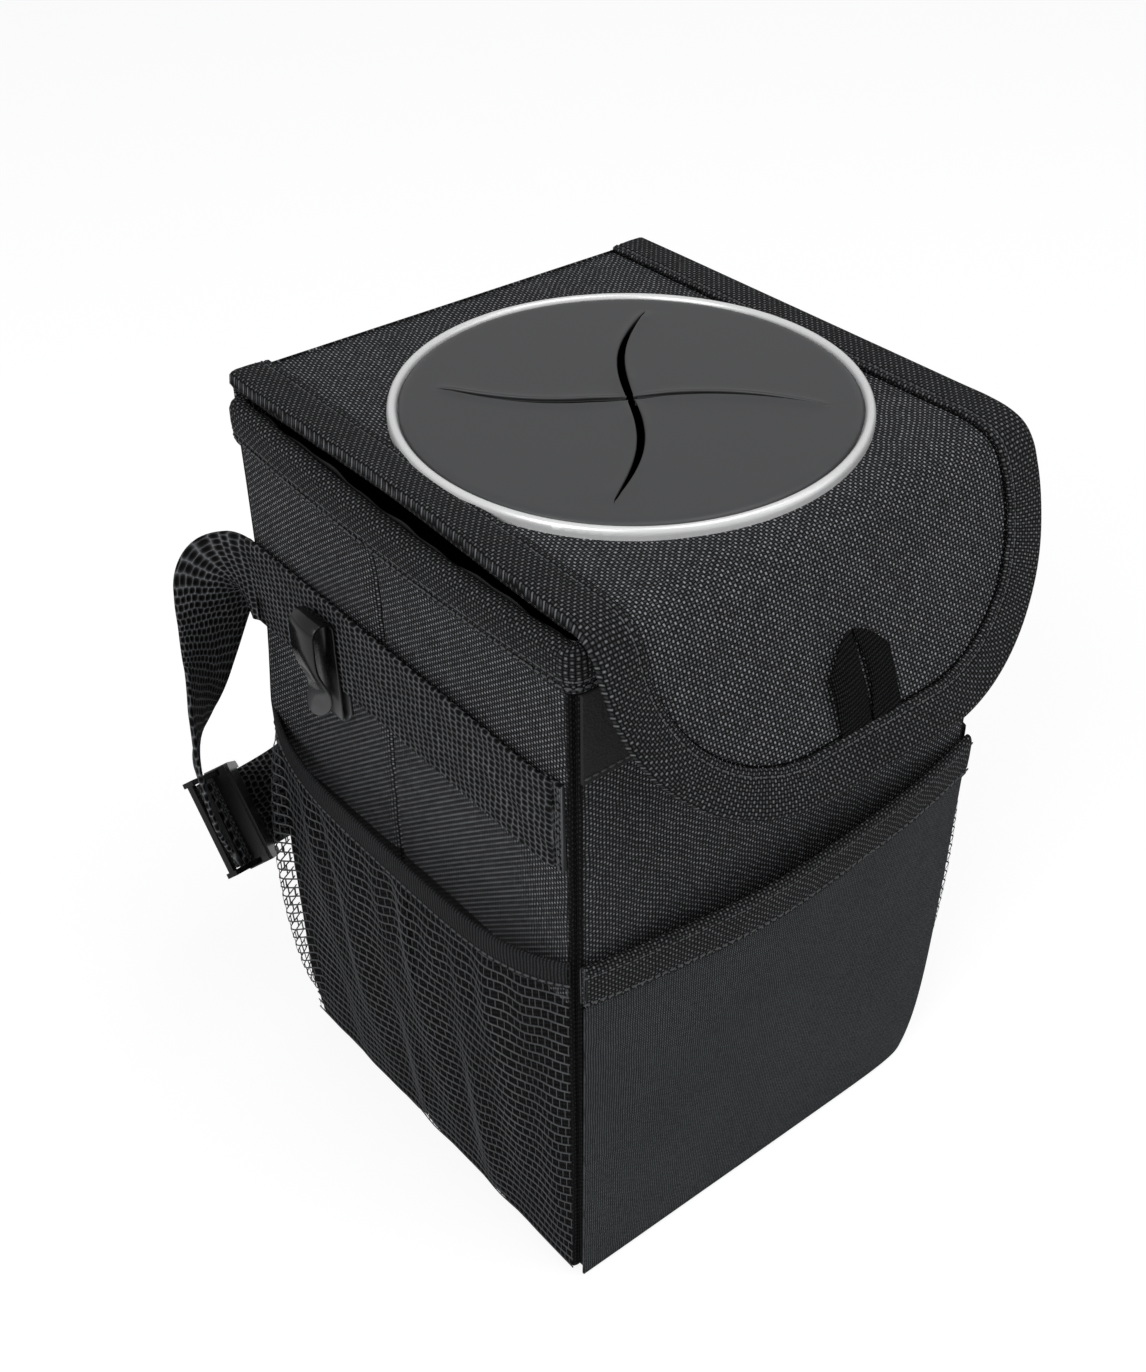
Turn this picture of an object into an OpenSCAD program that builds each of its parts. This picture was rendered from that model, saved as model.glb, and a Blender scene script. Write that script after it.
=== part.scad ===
// Collapsible car litter bin: a woven box with a slotted drop-in lid, pockets and a hanging strap.
// Millimetres. The origin is the centre of the base, the front faces -Y and +Z is up.

/* [Bin] */
// Width of the open rim, side to side
rim_w = 170; // [140:1:200]
// Depth of the open rim, front to back
rim_d = 164; // [150:1:190]
// Height of the rim above the base
rim_h = 270; // [250:1:320]
// How much narrower and shallower the base is than the rim
taper = 7; // [0:1:14]
// Thickness of the woven outer cloth
cloth_t = 1.2; // [0.8:0.1:2]
// Thickness of the stiff boards inside the walls and the base
board_t = 1.6; // [1:0.1:3]
// Thickness of the waterproof liner
liner_t = 0.6; // [0.4:0.1:1.2]
// Depth of the fold-in crease down the middle of each side
crease_d = 1.4; // [0:0.1:2]
// Place of that crease, behind the middle
crease_y = 9; // [-20:1:20]
// How far the boards stop short of the wall seams
board_edge = 2; // [1:0.5:6]

/* [Seams] */
// Running gap between two layers that are sewn together
sew = 0.2; // [0.1:0.05:0.4]
// Thickness of the edge tape
tape_t = 0.8; // [0.5:0.1:1.2]
// Height of the tape round the rim
rim_tape_h = 13; // [8:1:18]
// Width of the tape round the lid and its flap
lid_tape_w = 13.5; // [8:0.5:15]

/* [Closure] */
// How far below the rim the loop strip's lower edge lies
loop_drop = 46; // [45:1:60]
// Height of the loop strip
loop_h = 31; // [15:1:32]
// Thickness of each half of the hook and loop closure
nap_t = 1.2; // [0.8:0.1:1.5]
// Width of the hook strip inside the flap
hook_w = 96; // [40:1:104]
// Height of the hook strip inside the flap
hook_h = 26; // [10:1:30]
// How far the hook strip starts below the top of the flap
hook_drop = 20; // [10:1:24]

/* [Front pocket] */
// How far below the rim the front pocket ends at the corners
pocket_drop = 117; // [100:1:180]
// How much lower its top edge hangs in the middle
pocket_sag = 4; // [0:0.5:10]
// How far the pocket stands away from the front in the middle
pocket_swell = 6.5; // [5.5:0.5:10]
// Height of the tape on its top edge
pocket_tape_h = 15.5; // [8:0.5:20]
// Thickness of the pocket cloth
pocket_t = 1; // [0.6:0.1:1.6]

/* [Mesh pockets] */
// How far below the rim the mesh pockets end at the corners
mesh_drop = 116; // [108:1:180]
// How much lower their top edge hangs in the middle
mesh_sag = 5; // [0:0.5:12]
// How far the mesh stands away from the side
mesh_swell = 9; // [6:0.5:12]
// Height of the mesh above the base at its lower seam
mesh_foot = 4; // [3:0.5:20]
// Height of the elastic on the top edge
elastic_h = 12.5; // [6:0.5:18]
// Thickness of the mesh
mesh_t = 0.9; // [0.6:0.1:1.4]
// Depth of the gathers that the elastic pulls in
gather_d = 0.9; // [0:0.1:1.5]
// Number of gathers across a pocket
gathers = 11; // [5:1:15]

/* [Webbing] */
// Width of the webbing
web_w = 32; // [25:1:38]
// Thickness of the webbing
web_t = 1.6; // [1.2:0.1:2]
// How far below the rim the webbing's middle lies
web_drop = 64; // [60:1:72]
// Length of the doubled and stitched front end
web_hem = 8; // [5:1:14]

/* [Clips] */
// Width of a clip
clip_w = 13; // [8:0.5:18]
// Thickness of its spring strip
clip_t = 1; // [0.7:0.1:1.3]
// Place of the clips behind the middle
clip_y = 35; // [20:1:45]
// Clearance between the clip and the webbing that it grips
clip_gap = 0.35; // [0.25:0.05:0.5]
// How far the front leaf stands off the rear one
clip_mouth = 7.5; // [6:0.5:10]
// How far the front leaf dips back towards the webbing
clip_dip = 3.6; // [2:0.2:4]

/* [Buckle] */
// How much wider the buckle is than the webbing
buckle_rim = 6; // [5.6:0.2:10]
// Thickness of the buckle
buckle_t = 9; // [8.5:0.5:12]
// Wall of the socket
buckle_wall = 1.8; // [1.4:0.1:2.2]
// Length of the socket
socket_l = 34; // [32:1:40]
// Length of the plug's strap frame
frame_l = 20; // [18:1:24]
// How far that frame tips away from the socket's plane
frame_tip = 25; // [15:1:30]
// Length of the prongs
prong_l = 21; // [19:0.5:22]
// Width of one prong
prong_w = 4.2; // [3:0.2:5]
// How far the barb of a prong stands out
barb_w = 2.2; // [1.6:0.2:2.4]
// Clearance of the plug in the socket
buckle_gap = 0.3; // [0.2:0.05:0.5]
// Radius of the bars that the webbing is sewn round
bar_r = 1.6; // [1.2:0.1:2]
// Width of the slots that the webbing runs through
slot_w = 4.6; // [3.4:0.2:5]
// Length of the sewn loop at each end of the webbing
loop_tail = 9; // [7:1:12]

/* [Lid] */
// How far the lid's side edges lie inside the outer faces of the rim
lid_inset = 2.5; // [1:0.5:6]
// How far the middle of the lid's front fold lies behind the front of the rim
fold_back = 3; // [2:0.5:3]
// Outer radius of that fold
fold_r = 9; // [8.5:0.5:10]
// Gap between the rim's tape and the lid
lid_gap = 0.3; // [0.2:0.1:0.6]

/* [Flap] */
// Lean of the flap away from upright
flap_lean = 24; // [22:1:32]
// Length of the flap below the fold
flap_len = 67.5; // [60:0.5:80]
// How much narrower than the lid the flap is on each side
flap_in = 0.5; // [0:0.1:6]
// Radius of its lower corners
flap_r = 60; // [40:1:60]

/* [Pull tab] */
// Width of the tab's grosgrain tape
tab_w = 11.2; // [7:0.2:12]
// Length of the tab
tab_l = 28; // [15:1:30]
// Thickness of the tab's tape
tab_t = 1; // [0.6:0.1:1.5]
// Gap between the two legs of the tab
tab_split = 1.6; // [0.6:0.2:4]

/* [Drop-in port] */
// Place of the port's centre, front to back
port_y = -5; // [-6:0.5:-4]
// Least distance from the bright ring to the lid's side edge
ring_side = 10.7; // [10:0.1:20]
// Least distance from the bright ring to the middle of the lid's front fold
ring_front = 2.2; // [1.5:0.1:10]
// Width of the ring's round bead
bead_w = 4.2; // [3:0.2:6]
// Height of the bead above the lid
bead_h = 3.6; // [2.6:0.2:5]
// Thickness of the ring's ledge under the rubber
ledge_t = 1.2; // [0.8:0.1:1.5]
// Width of the ledge that carries the rubber disc
ledge_w = 6; // [5:0.5:8]
// Wall of the ring's sleeve through the lid
sleeve_t = 1.4; // [1:0.1:1.6]
// Thickness of the rubber disc
disc_t = 1.8; // [1.2:0.1:2]
// How far each slit stops short of the disc's edge
slit_end = 10.4; // [8.4:0.2:25]
// Width of a slit at its widest
slit_w = 2.4; // [1:0.2:4]
// How far each slit bends sideways
slit_bend = 5; // [0:0.5:8]
// Number of slits
slits = 4; // [4:1:6]

/* [Hidden] */
$fn = 96;

// Layers of a wall, from the outside in
stack_side = cloth_t + sew;
stack_end = stack_side + board_t + sew;
wall_z0 = cloth_t + sew;
base_top = wall_z0 + board_t + sew;
wall_top = rim_h - tape_t - sew;
loop_z = rim_h - loop_drop;
pocket_h = rim_h - pocket_drop;
mesh_h = rim_h - mesh_drop;
web_z = rim_h - web_drop;
lean = atan(taper / 2 / rim_h);

// Layers of the lid, from the rim up
lid_z = rim_h + lid_gap;
lining_z = lid_z + tape_t + sew;
lid_board_z = lining_z + liner_t + sew;
cover_z = lid_board_z + board_t + sew;
cover_top = cover_z + cloth_t;
hinge_y = rim_d / 2 + sew + tape_t + 0.9;
lid_back = hinge_y - 0.2;
lid_half = rim_w / 2 - lid_inset;

// The flap hangs from the end of the fold
fold_turn = 90 - flap_lean;
fold_y = fold_back - rim_d / 2;
fold_c = [fold_y, cover_top - fold_r];
flap_top = fold_c + fold_r * [-cos(flap_lean), sin(flap_lean)];
flap_stack = cloth_t + sew + liner_t;
flap_half = lid_half - flap_in;

// The ring keeps clear of the side tapes and of the fold, and the disc lies inside its bead
ring_r = min(lid_half - ring_side, port_y - fold_y - ring_front);
disc_r = ring_r - bead_w - sew;
slit_reach = disc_r - slit_end;

// Half width and half depth of the bin's outer faces at a height
function half_w(z) = (rim_w - taper * (1 - z / rim_h)) / 2;
function half_d(z) = (rim_d - taper * (1 - z / rim_h)) / 2;
function steps(a, b, n) = [for (i = [0 : n]) a + (b - a) * i / n];
function unit(v) = v / norm(v);

// A block whose sides follow the leaning walls: a side is [share of the half size, offset]
module slab(z, x, y) {
    points = [for (h = z) for (b = y) for (a = x)
        [a[0] * half_w(h) + a[1], b[0] * half_d(h) + b[1], h]];
    polyhedron(points, [[0, 1, 3, 2], [4, 6, 7, 5], [0, 4, 5, 1],
        [1, 5, 7, 3], [3, 7, 6, 2], [2, 6, 4, 0]]);
}

// A closed sheet: place(u, v, o) gives the point at u and v that lies o out from the wall
module skin(place, us, vs, o0, o1) {
    nu = len(us);
    nv = len(vs);
    top = nu * nv;
    points = [for (o = [o0, o1]) for (v = vs) for (u = us) place(u, v, o)];
    quads = concat(
        [for (j = [0 : nv - 2]) for (i = [0 : nu - 2])
            let (a = top + j * nu + i) [a, a + nu, a + nu + 1, a + 1]],
        [for (j = [0 : nv - 2]) for (i = [0 : nu - 2])
            let (a = j * nu + i) [a, a + 1, a + nu + 1, a + nu]],
        [for (i = [0 : nu - 2]) [i, top + i, top + i + 1, i + 1]],
        [for (i = [0 : nu - 2]) let (a = (nv - 1) * nu + i) [a, a + 1, top + a + 1, top + a]],
        [for (j = [0 : nv - 2]) let (a = j * nu) [a, a + nu, top + a + nu, top + a]],
        [for (j = [0 : nv - 2]) let (a = j * nu + nu - 1) [a, top + a, top + a + nu, a + nu]]);
    polyhedron(points, [for (q = quads) each [[q[0], q[1], q[2]], [q[0], q[2], q[3]]]]);
}

// A closed sweep of rings that hold the same number of points; caps lists the faces of one end
module sweep(rings, caps) {
    n = len(rings[0]);
    m = len(rings);
    points = [for (ring = rings) each ring];
    sides = [for (j = [0 : m - 2]) for (i = [0 : n - 1])
        let (a = j * n + i, b = j * n + (i + 1) % n) each [[a, b + n, b], [a, a + n, b + n]]];
    polyhedron(points, concat(sides, caps,
        [for (c = caps) [for (i = [len(c) - 1 : -1 : 0]) (m - 1) * n + c[i]]]));
}
strip_caps = [[0, 1, 2, 3]];
hem_caps = [[0, 1, 2, 7], [2, 3, 6, 7], [3, 4, 5, 6]];

// Woven walls. The sides lie between the front and the back, and fold in at the crease
module end_panel(dir) {
    y = dir < 0 ? [[-1, 0], [-1, cloth_t]] : [[1, -cloth_t], [1, 0]];
    slab([wall_z0, wall_top], [[-1, 0], [1, 0]], y);
}

function side_depth(y) = crease_d * max(0, 1 - abs(y - crease_y) / 5);

module side_panel() {
    inner = function (z) half_d(z) - cloth_t - sew;
    place = function (u, z, o)
        let (y = u == 0 || u == 6 ? (u == 0 ? 1 : -1) * inner(z) : crease_y + 5 * [0, 1, 0.4, 0, -0.4, -1][u])
        [-half_w(z) - o + side_depth(y), y, z];
    skin(place, [0, 1, 2, 3, 4, 5, 6], [wall_z0, wall_top], -cloth_t, 0);
}

module front_panel() {
    color("#191a1c") end_panel(-1);
}

module back_panel() {
    color("#191a1c") end_panel(1);
}

module left_panel() {
    color("#1b1c1e") side_panel();
}

module right_panel() {
    color("#1b1c1e") mirror([1, 0, 0]) side_panel();
}

module base_panel() {
    color("#141516") slab([0, cloth_t], [[-1, 0], [1, 0]], [[-1, 0], [1, 0]]);
}

// Stiff boards that keep the front, the back and the base flat
module end_board(dir) {
    x_in = stack_side + crease_d + board_edge;
    near = stack_side;
    far = stack_side + board_t;
    y = dir < 0 ? [[-1, near], [-1, far]] : [[1, -far], [1, -near]];
    slab([base_top, wall_top - rim_tape_h], [[-1, x_in], [1, -x_in]], y);
}

module front_board() {
    color("#3a3b3d") end_board(-1);
}

module back_board() {
    color("#3a3b3d") end_board(1);
}

module base_board() {
    edge = stack_side + crease_d;
    color("#3a3b3d") slab([wall_z0, wall_z0 + board_t], [[-1, edge], [1, -edge]],
        [[-1, stack_side], [1, -stack_side]]);
}

// Waterproof bag, open at the top
liner_x = stack_side + crease_d;
module liner() {
    x = liner_x;
    y = stack_end;
    t = liner_t;
    color("#2c2d2f") difference() {
        slab([base_top, wall_top], [[-1, x], [1, -x]], [[-1, y], [1, -y]]);
        slab([base_top + t, rim_h + 5], [[-1, x + t], [1, -x - t]], [[-1, y + t], [1, -y - t]]);
    }
}

// Tape folded over the rim, with one leg outside and one inside
module rim_binding() {
    out = sew + tape_t;
    x_leg = liner_x + liner_t + sew;
    y_leg = stack_end + liner_t + sew;
    low = rim_h - rim_tape_h;
    deep = x_leg + tape_t;
    deep_y = y_leg + tape_t;
    color("#222325") difference() {
        slab([low, rim_h], [[-1, -out], [1, out]], [[-1, -out], [1, out]]);
        slab([low - 1, rim_h + 1], [[-1, deep], [1, -deep]], [[-1, deep_y], [1, -deep_y]]);
        difference() {
            slab([low - 1, wall_top + sew], [[-1, -sew], [1, sew]], [[-1, -sew], [1, sew]]);
            slab([low - 2, rim_h + 2], [[-1, x_leg], [1, -x_leg]], [[-1, y_leg], [1, -y_leg]]);
        }
    }
}

module loop_strip() {
    color("#101112") slab([loop_z, loop_z + loop_h], [[-1, 2], [1, -2]],
        [[-1, -sew - nap_t], [-1, -sew]]);
}

// Front pocket: it lies on the front at its seams and stands away in the middle of its mouth
pocket_lift = 2 * sew + tape_t;
function pocket_top(u) = pocket_h - pocket_sag * (1 - u * u);
function pocket_off(u, z) = sew + (pocket_lift + pocket_swell * (1 - pow(u, 2))) * sin(90 * min(z / pocket_h, 1));
function on_front(u, z, o) = [u * (half_w(z) - 0.5), -half_d(z) - o, z];

module front_pocket() {
    place = function (u, v, o)
        let (z = wall_z0 + v * (pocket_top(u) - wall_z0))
        on_front(u, z, pocket_off(u, z) + o);
    color("#17181a") skin(place, steps(-1, 1, 16), steps(0, 1, 10), 0, pocket_t);
}

// Tape folded over a pocket's edge: one ring of its U-shaped section, from inside to outside
function hem_section(z, h, t, face) =
    let (low = z - h, top = z + sew, cap = top + tape_t, near = -sew, far = t + sew)
    [face(low, near - tape_t), face(low, near), face(top, near), face(top, far),
        face(low, far), face(low, far + tape_t), face(cap, far + tape_t), face(cap, near - tape_t)];

module front_pocket_binding() {
    rings = [for (u = steps(-1, 1, 20))
        hem_section(pocket_top(u), pocket_tape_h, pocket_t,
            function (z, o) on_front(u, z, pocket_off(u, min(z, pocket_h)) + o))];
    color("#242527") sweep([for (i = [len(rings) - 1 : -1 : 0]) rings[i]], hem_caps);
}

// Mesh pockets: full in the middle, with gathers that run down from the elastic
mesh_lift = 2 * sew + tape_t;
function mesh_top(u) = mesh_h - mesh_sag * (1 - pow(u, 4));
function mesh_off(u, z) = sew + (mesh_lift + mesh_swell * (1 - pow(u, 4)))
    * sin(90 * min(pow(max(z - mesh_foot, 0) / (mesh_h - mesh_foot), 0.6), 1));
function gather(u, v) = gather_d * (1 - cos(360 * gathers * (u + 1) / 2)) / 2
    * sin(180 * min(v / 0.94, 1)) * (1 - pow(u, 4));
function on_left(u, z, o) = [-half_w(z) - o, -u * (half_d(z) - 0.5), z];

module mesh_pocket() {
    place = function (u, v, o)
        let (z = mesh_foot + v * (mesh_top(u) - mesh_foot))
        on_left(u, z, mesh_off(u, z) + gather(u, v) + o);
    skin(place, steps(-1, 1, 4 * gathers), steps(0, 1, 7), 0, mesh_t);
}

module mesh_binding() {
    rings = [for (u = steps(-1, 1, 20))
        hem_section(mesh_top(u), elastic_h, mesh_t + gather_d * 0.6,
            function (z, o) on_left(u, z, mesh_off(u, min(z, mesh_h)) + o))];
    sweep([for (i = [len(rings) - 1 : -1 : 0]) rings[i]], hem_caps);
}

module left_mesh_pocket() {
    color("#26282a") mesh_pocket();
}

module right_mesh_pocket() {
    color("#26282a") mirror([1, 0, 0]) mesh_pocket();
}

module left_mesh_binding() {
    color("#1d1e20") mesh_binding();
}

module right_mesh_binding() {
    color("#1d1e20") mirror([1, 0, 0]) mesh_binding();
}

// Buckle axes: along the strap, across it and through it, and the middle of the closed buckle
buckle_at = [-rim_w / 2 - 11.3, rim_d / 2 + 11.4, web_z - 107.5];
buckle_along = unit([0.434, 0.642, -0.632]);
buckle_across = unit(cross(cross(buckle_along, [-0.01, -0.698, -0.716]), buckle_along));
buckle_up = cross(buckle_along, buckle_across);
buckle_w = web_w + buckle_rim;
socket_x = -2.6;
frame_x = -5;
slot_half = web_w / 2 + 0.3;
socket_bar = socket_x + socket_l - bar_r - 0.6;
plug_bar = -frame_l / 2;
strap_dip = 0.12;

module on_buckle() {
    a = buckle_along;
    b = buckle_across;
    c = buckle_up;
    p = buckle_at;
    multmatrix([[a[0], b[0], c[0], p[0]], [a[1], b[1], c[1], p[1]], [a[2], b[2], c[2], p[2]], [0, 0, 0, 1]])
        children();
}

// Webbing that is sewn to the side, stands off it for the clip, and then runs free
web_lift = clip_t + 2 * clip_gap;
side_up = [-sin(lean), 0, cos(lean)];
function side_point(y, off) = [-half_w(web_z) - off - web_t / 2, y, web_z];
web_y0 = -rim_d / 2 + 4.5;
web_y1 = rim_d / 2 - 5;
band_route = [
    [side_point(web_y0, sew), side_up],
    [side_point(web_y0 + web_hem, sew), side_up],
    [side_point(web_y0 + web_hem + 7, web_lift), side_up],
    [side_point(web_y1 - 8, web_lift), side_up],
    [side_point(web_y1, web_lift), side_up]];

// Points of the two free runs, from the back corner to the buckle: place and direction across.
// The left ones are set out from the back left corner, and the right ones across the back
function from_corner(x, y, z) = [x - rim_w / 2, rim_d / 2 + y, web_z + z];
function behind(share, y, z) = [share * rim_w / 2, rim_d / 2 + y, web_z + z];
left_route = [
    [from_corner(-3.2, 1, -0.7), [0, 0, 1]],
    [from_corner(-4.6, 8, -4), [-0.35, 0.1, 0.92]],
    [from_corner(-6.4, 12, -12), [-0.76, 0.02, 0.63]],
    [from_corner(-9.8, 12, -23), [-0.88, -0.2, 0.43]],
    [from_corner(-15.5, 8.5, -35), [-0.8, -0.42, 0.43]],
    [from_corner(-23.5, 2.5, -47), [-0.62, -0.64, 0.45]],
    [from_corner(-29.5, -2, -60), [-0.46, -0.86, 0.22]],
    [from_corner(-30.5, -4.5, -75), [-0.3, -0.93, -0.2]]];
right_route = [
    [behind(0.976, 8, -1), [0.05, 0, 1]],
    [behind(0.882, 17, -9), [0.2, 0, 0.98]],
    [behind(0.718, 24, -25), [0.42, 0.05, 0.9]],
    [behind(0.482, 29, -50), [0.58, 0.12, 0.8]],
    [behind(0.188, 33, -79), [0.56, 0.25, 0.78]],
    [behind(-0.141, 36, -105), [0.42, 0.42, 0.8]],
    [behind(-0.435, 37, -122), [0.2, 0.6, 0.77]],
    [behind(-0.671, 37, -130), [0.05, 0.69, 0.72]]];

function spline(list, t) =
    let (i = min(floor(t), len(list) - 2), f = t - i, last = len(list) - 1,
        a = list[max(i - 1, 0)], b = list[i], c = list[i + 1], d = list[min(i + 2, last)])
    0.5 * (2 * b + (c - a) * f + (2 * a - 5 * b + 4 * c - d) * f * f + (3 * b - a - 3 * c + d) * f * f * f);

// The sewn loop round a bar at c that runs along w: the strap leaves it along d
function bar_loop(c, d, w) =
    let (n = cross(w, d), r = bar_r + buckle_gap + web_t / 2, e = web_t / 2 + sew)
    concat([for (s = [loop_tail + 4, loop_tail, loop_tail * 0.65]) [c + d * s + n * e, w]],
        [for (a = steps(90, -90, 8)) [c + r * (sin(a) * n - cos(a) * d), w]],
        [for (s = [loop_tail * 0.65, loop_tail]) [c + d * s - n * e, w]]);

// One ring of the webbing, and the whole ribbon from its sewn band to its loop
function web_ring(p, ahead, across) =
    let (w = unit(across - (across * ahead) * ahead) * web_w / 2, n = unit(cross(ahead, w)) * web_t / 2)
    [p - w - n, p + w - n, p + w + n, p - w + n];

function web_rings(band, free, loop, n) =
    let (stations = concat([band[4]], free, [loop[0]]),
        run = [for (t = steps(0, len(stations) - 1, n))
            [spline([for (s = stations) s[0]], t), spline([for (s = stations) s[1]], t)]],
        rest = concat(run, [for (i = [1 : len(loop) - 1]) loop[i]]),
        last = len(rest) - 1)
    concat([for (s = [0 : 3]) web_ring(band[s][0], [0, 1, 0], band[s][1])],
        [for (i = [0 : last])
            let (ahead = i == 0 ? [0, 1, 0] : unit(rest[min(i + 1, last)][0] - rest[i - 1][0]))
            web_ring(rest[i][0], ahead, rest[i][1])]);

module left_strap() {
    bar = plug_bar * [cos(frame_tip), -sin(frame_tip)];
    c = buckle_at + buckle_along * (frame_x + bar[0]) + buckle_up * bar[1];
    loop = bar_loop(c, -unit(buckle_along + strap_dip * buckle_up), buckle_across);
    color("#1c1d1f") sweep(web_rings(band_route, left_route, loop, 32), strip_caps);
}

module right_strap() {
    flip = function (p) [-p[0], p[1], p[2]];
    band = [for (s = band_route) [flip(s[0]), flip(s[1])]];
    loop = bar_loop(buckle_at + buckle_along * socket_bar, buckle_along, -buckle_across);
    color("#1c1d1f") sweep(web_rings(band, right_route, loop, 36), strip_caps);
}

// Buckle plug: a shoulder, a tipped strap frame with a bar and a lip, a tongue and two barbed prongs
module plug_frame() {
    w = buckle_w - 1.8;
    rail = w / 2 - slot_half;
    high = 2 * bar_r + 0.8;
    translate([frame_x, 0, 0]) rotate([0, frame_tip, 0]) {
        for (y = [-w / 2, w / 2 - rail]) translate([-frame_l, y, -high / 2]) cube([frame_l + 1, rail, high]);
        translate([0.4 - frame_l, rail / 2 - w / 2, -1]) cube([2.4, w - rail, 2]);
        translate([plug_bar, 0, 0]) rotate([90, 0, 0]) cylinder(r = bar_r, h = w - rail, center = true, $fn = 24);
    }
}

module buckle_plug() {
    w = buckle_w - 1;
    t = buckle_t * 0.8;
    x0 = -4;
    near = buckle_w / 2 - buckle_wall - buckle_gap - prong_w;
    far = near + prong_w;
    thick = buckle_t - 2 * buckle_wall - 2 * buckle_gap;
    color("#0b0b0c") on_buckle() {
        plug_frame();
        translate([frame_x - 2, -w / 2, -t / 2]) cube([socket_x - buckle_gap - frame_x + 2, w, t]);
        for (s = [-1, 1]) scale([1, s, 1]) translate([x0, 0, -thick / 2]) linear_extrude(thick)
            polygon([[0, near], [prong_l, near + 1], [prong_l, near + prong_w / 2],
                [prong_l - 6, far + barb_w], [prong_l - 8, far + barb_w], [prong_l - 8, far], [0, far]]);
        translate([x0, -3, -1]) cube([prong_l - 2, 6, 2]);
    }
}

// Buckle socket: a flat shell with side windows for the barbs and a bar for the webbing
module buckle_socket() {
    w = buckle_w;
    t = buckle_t;
    open_y = w - 2 * buckle_wall;
    open_t = t - 2 * buckle_wall;
    slot_x = socket_bar - bar_r - slot_w;
    color("#0b0b0c") on_buckle() {
        difference() {
            hull() {
                for (x = [socket_x + 3, socket_x + socket_l - 3]) for (y = [-w / 2 + 3, w / 2 - 3])
                    translate([x, y, 0]) cylinder(r = 3, h = t, center = true, $fn = 24);
            }
            translate([socket_x - 1, -open_y / 2, -open_t / 2]) cube([prong_l + 1, open_y, open_t]);
            for (s = [-1, 1]) translate([prong_l - 12 - buckle_gap, s * (w / 2) - 5, -open_t / 2])
                cube([9, 10, open_t]);
            translate([slot_x, -slot_half, -t]) cube([socket_l, 2 * slot_half, 2 * t]);
        }
        translate([socket_bar, 0, 0]) rotate([90, 0, 0])
            cylinder(r = bar_r, h = 2 * slot_half + 2, center = true, $fn = 24);
    }
}

// Spring clip: a steel strip folded behind, in front of and away from the webbing
rear_o = clip_gap + clip_t / 2;
front_o = web_lift + web_t + clip_gap + clip_t / 2;
leaf_o = front_o + clip_mouth;
clip_low = web_z - web_w / 2 - 12;
clip_high = web_z + web_w / 2 - 7;
function arc_points(c, r, a0, a1, n) = [for (a = steps(a0, a1, n)) c + r * [cos(a), sin(a)]];
clip_path = concat(
    [[rear_o, clip_high - 6]],
    arc_points([(rear_o + front_o) / 2, clip_low], (front_o - rear_o) / 2, 180, 360, 8),
    arc_points([(front_o + leaf_o) / 2, clip_high], clip_mouth / 2, 180, 0, 10),
    [for (t = steps(0.1, 1, 10)) [leaf_o + 0.8 * sin(180 * t) - clip_dip * (1 - cos(180 * min(t / 0.75, 1))) / 2
        + 2.4 * pow(max(t - 0.75, 0) / 0.25, 2), clip_high - (clip_high - clip_low + 2) * t]]);

module ribbon_section(path, t) {
    n = len(path) - 1;
    ahead = [for (i = [0 : n]) unit(path[min(i + 1, n)] - path[max(i - 1, 0)])];
    side = [for (a = ahead) [-a[1], a[0]] * t / 2];
    polygon(concat([for (i = [0 : n]) path[i] + side[i]], [for (i = [n : -1 : 0]) path[i] - side[i]]));
}

module clip() {
    tip = clip_low - 2;
    translate([-half_w(0), clip_y, 0]) rotate([0, -lean, 0]) mirror([1, 0, 0]) intersection() {
        translate([0, clip_w / 2, 0]) rotate([90, 0, 0]) linear_extrude(clip_w) ribbon_section(clip_path, clip_t);
        rotate([0, 90, 0]) linear_extrude(leaf_o + 5) union() {
            translate([-tip - clip_w / 2 + 2, 0]) circle(d = clip_w);
            translate([-clip_high - 10, -clip_w / 2]) square([clip_high + 10 - tip - clip_w / 2 + 2, clip_w]);
        }
    }
}

module left_clip() {
    color("#0d0d0e") clip();
}

module right_clip() {
    color("#0d0d0e") mirror([1, 0, 0]) clip();
}

// Lid layers. The port's hole goes through all of them
module lid_plate(half, y0, y1, z, t) {
    difference() {
        translate([-half, y0, z]) cube([2 * half, y1 - y0, t]);
        translate([0, port_y, z - 1]) cylinder(r = port_hole_r, h = t + 2);
    }
}

// One layer of the soft fold, as a short flat and then an arc from the lid to the flap
fold_flat = 0.5;
module fold_arc(half0, half1, r0, r1) {
    points = concat([fold_c + [fold_flat, r1]], arc_points(fold_c, r1, 90, 90 + fold_turn - 1, 12),
        [for (a = steps(90 + fold_turn - 1, 90, 12)) fold_c + r0 * [cos(a), sin(a)]],
        [fold_c + [fold_flat, r0]]);
    translate([half0, 0, 0]) rotate([90, 0, 90]) linear_extrude(half1 - half0) polygon(points);
}

sleeve_r = ring_r - bead_w - ledge_w + sleeve_t;
port_hole_r = sleeve_r + 0.3;

module lid_cover() {
    color("#1a1b1d") union() {
        lid_plate(lid_half - sew - tape_t, fold_y, lid_back, cover_z, cloth_t);
        fold_arc(-lid_half + sew + tape_t, lid_half - sew - tape_t, fold_r - cloth_t, fold_r);
    }
}

module lid_board() {
    color("#3a3b3d") lid_plate(lid_half - lid_tape_w + 2, fold_y + 1, lid_back - 3, lid_board_z, board_t);
}

module lid_lining() {
    color("#2c2d2f") lid_plate(lid_half - sew - tape_t, fold_y + 1, lid_back, lining_z, liner_t);
}

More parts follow.
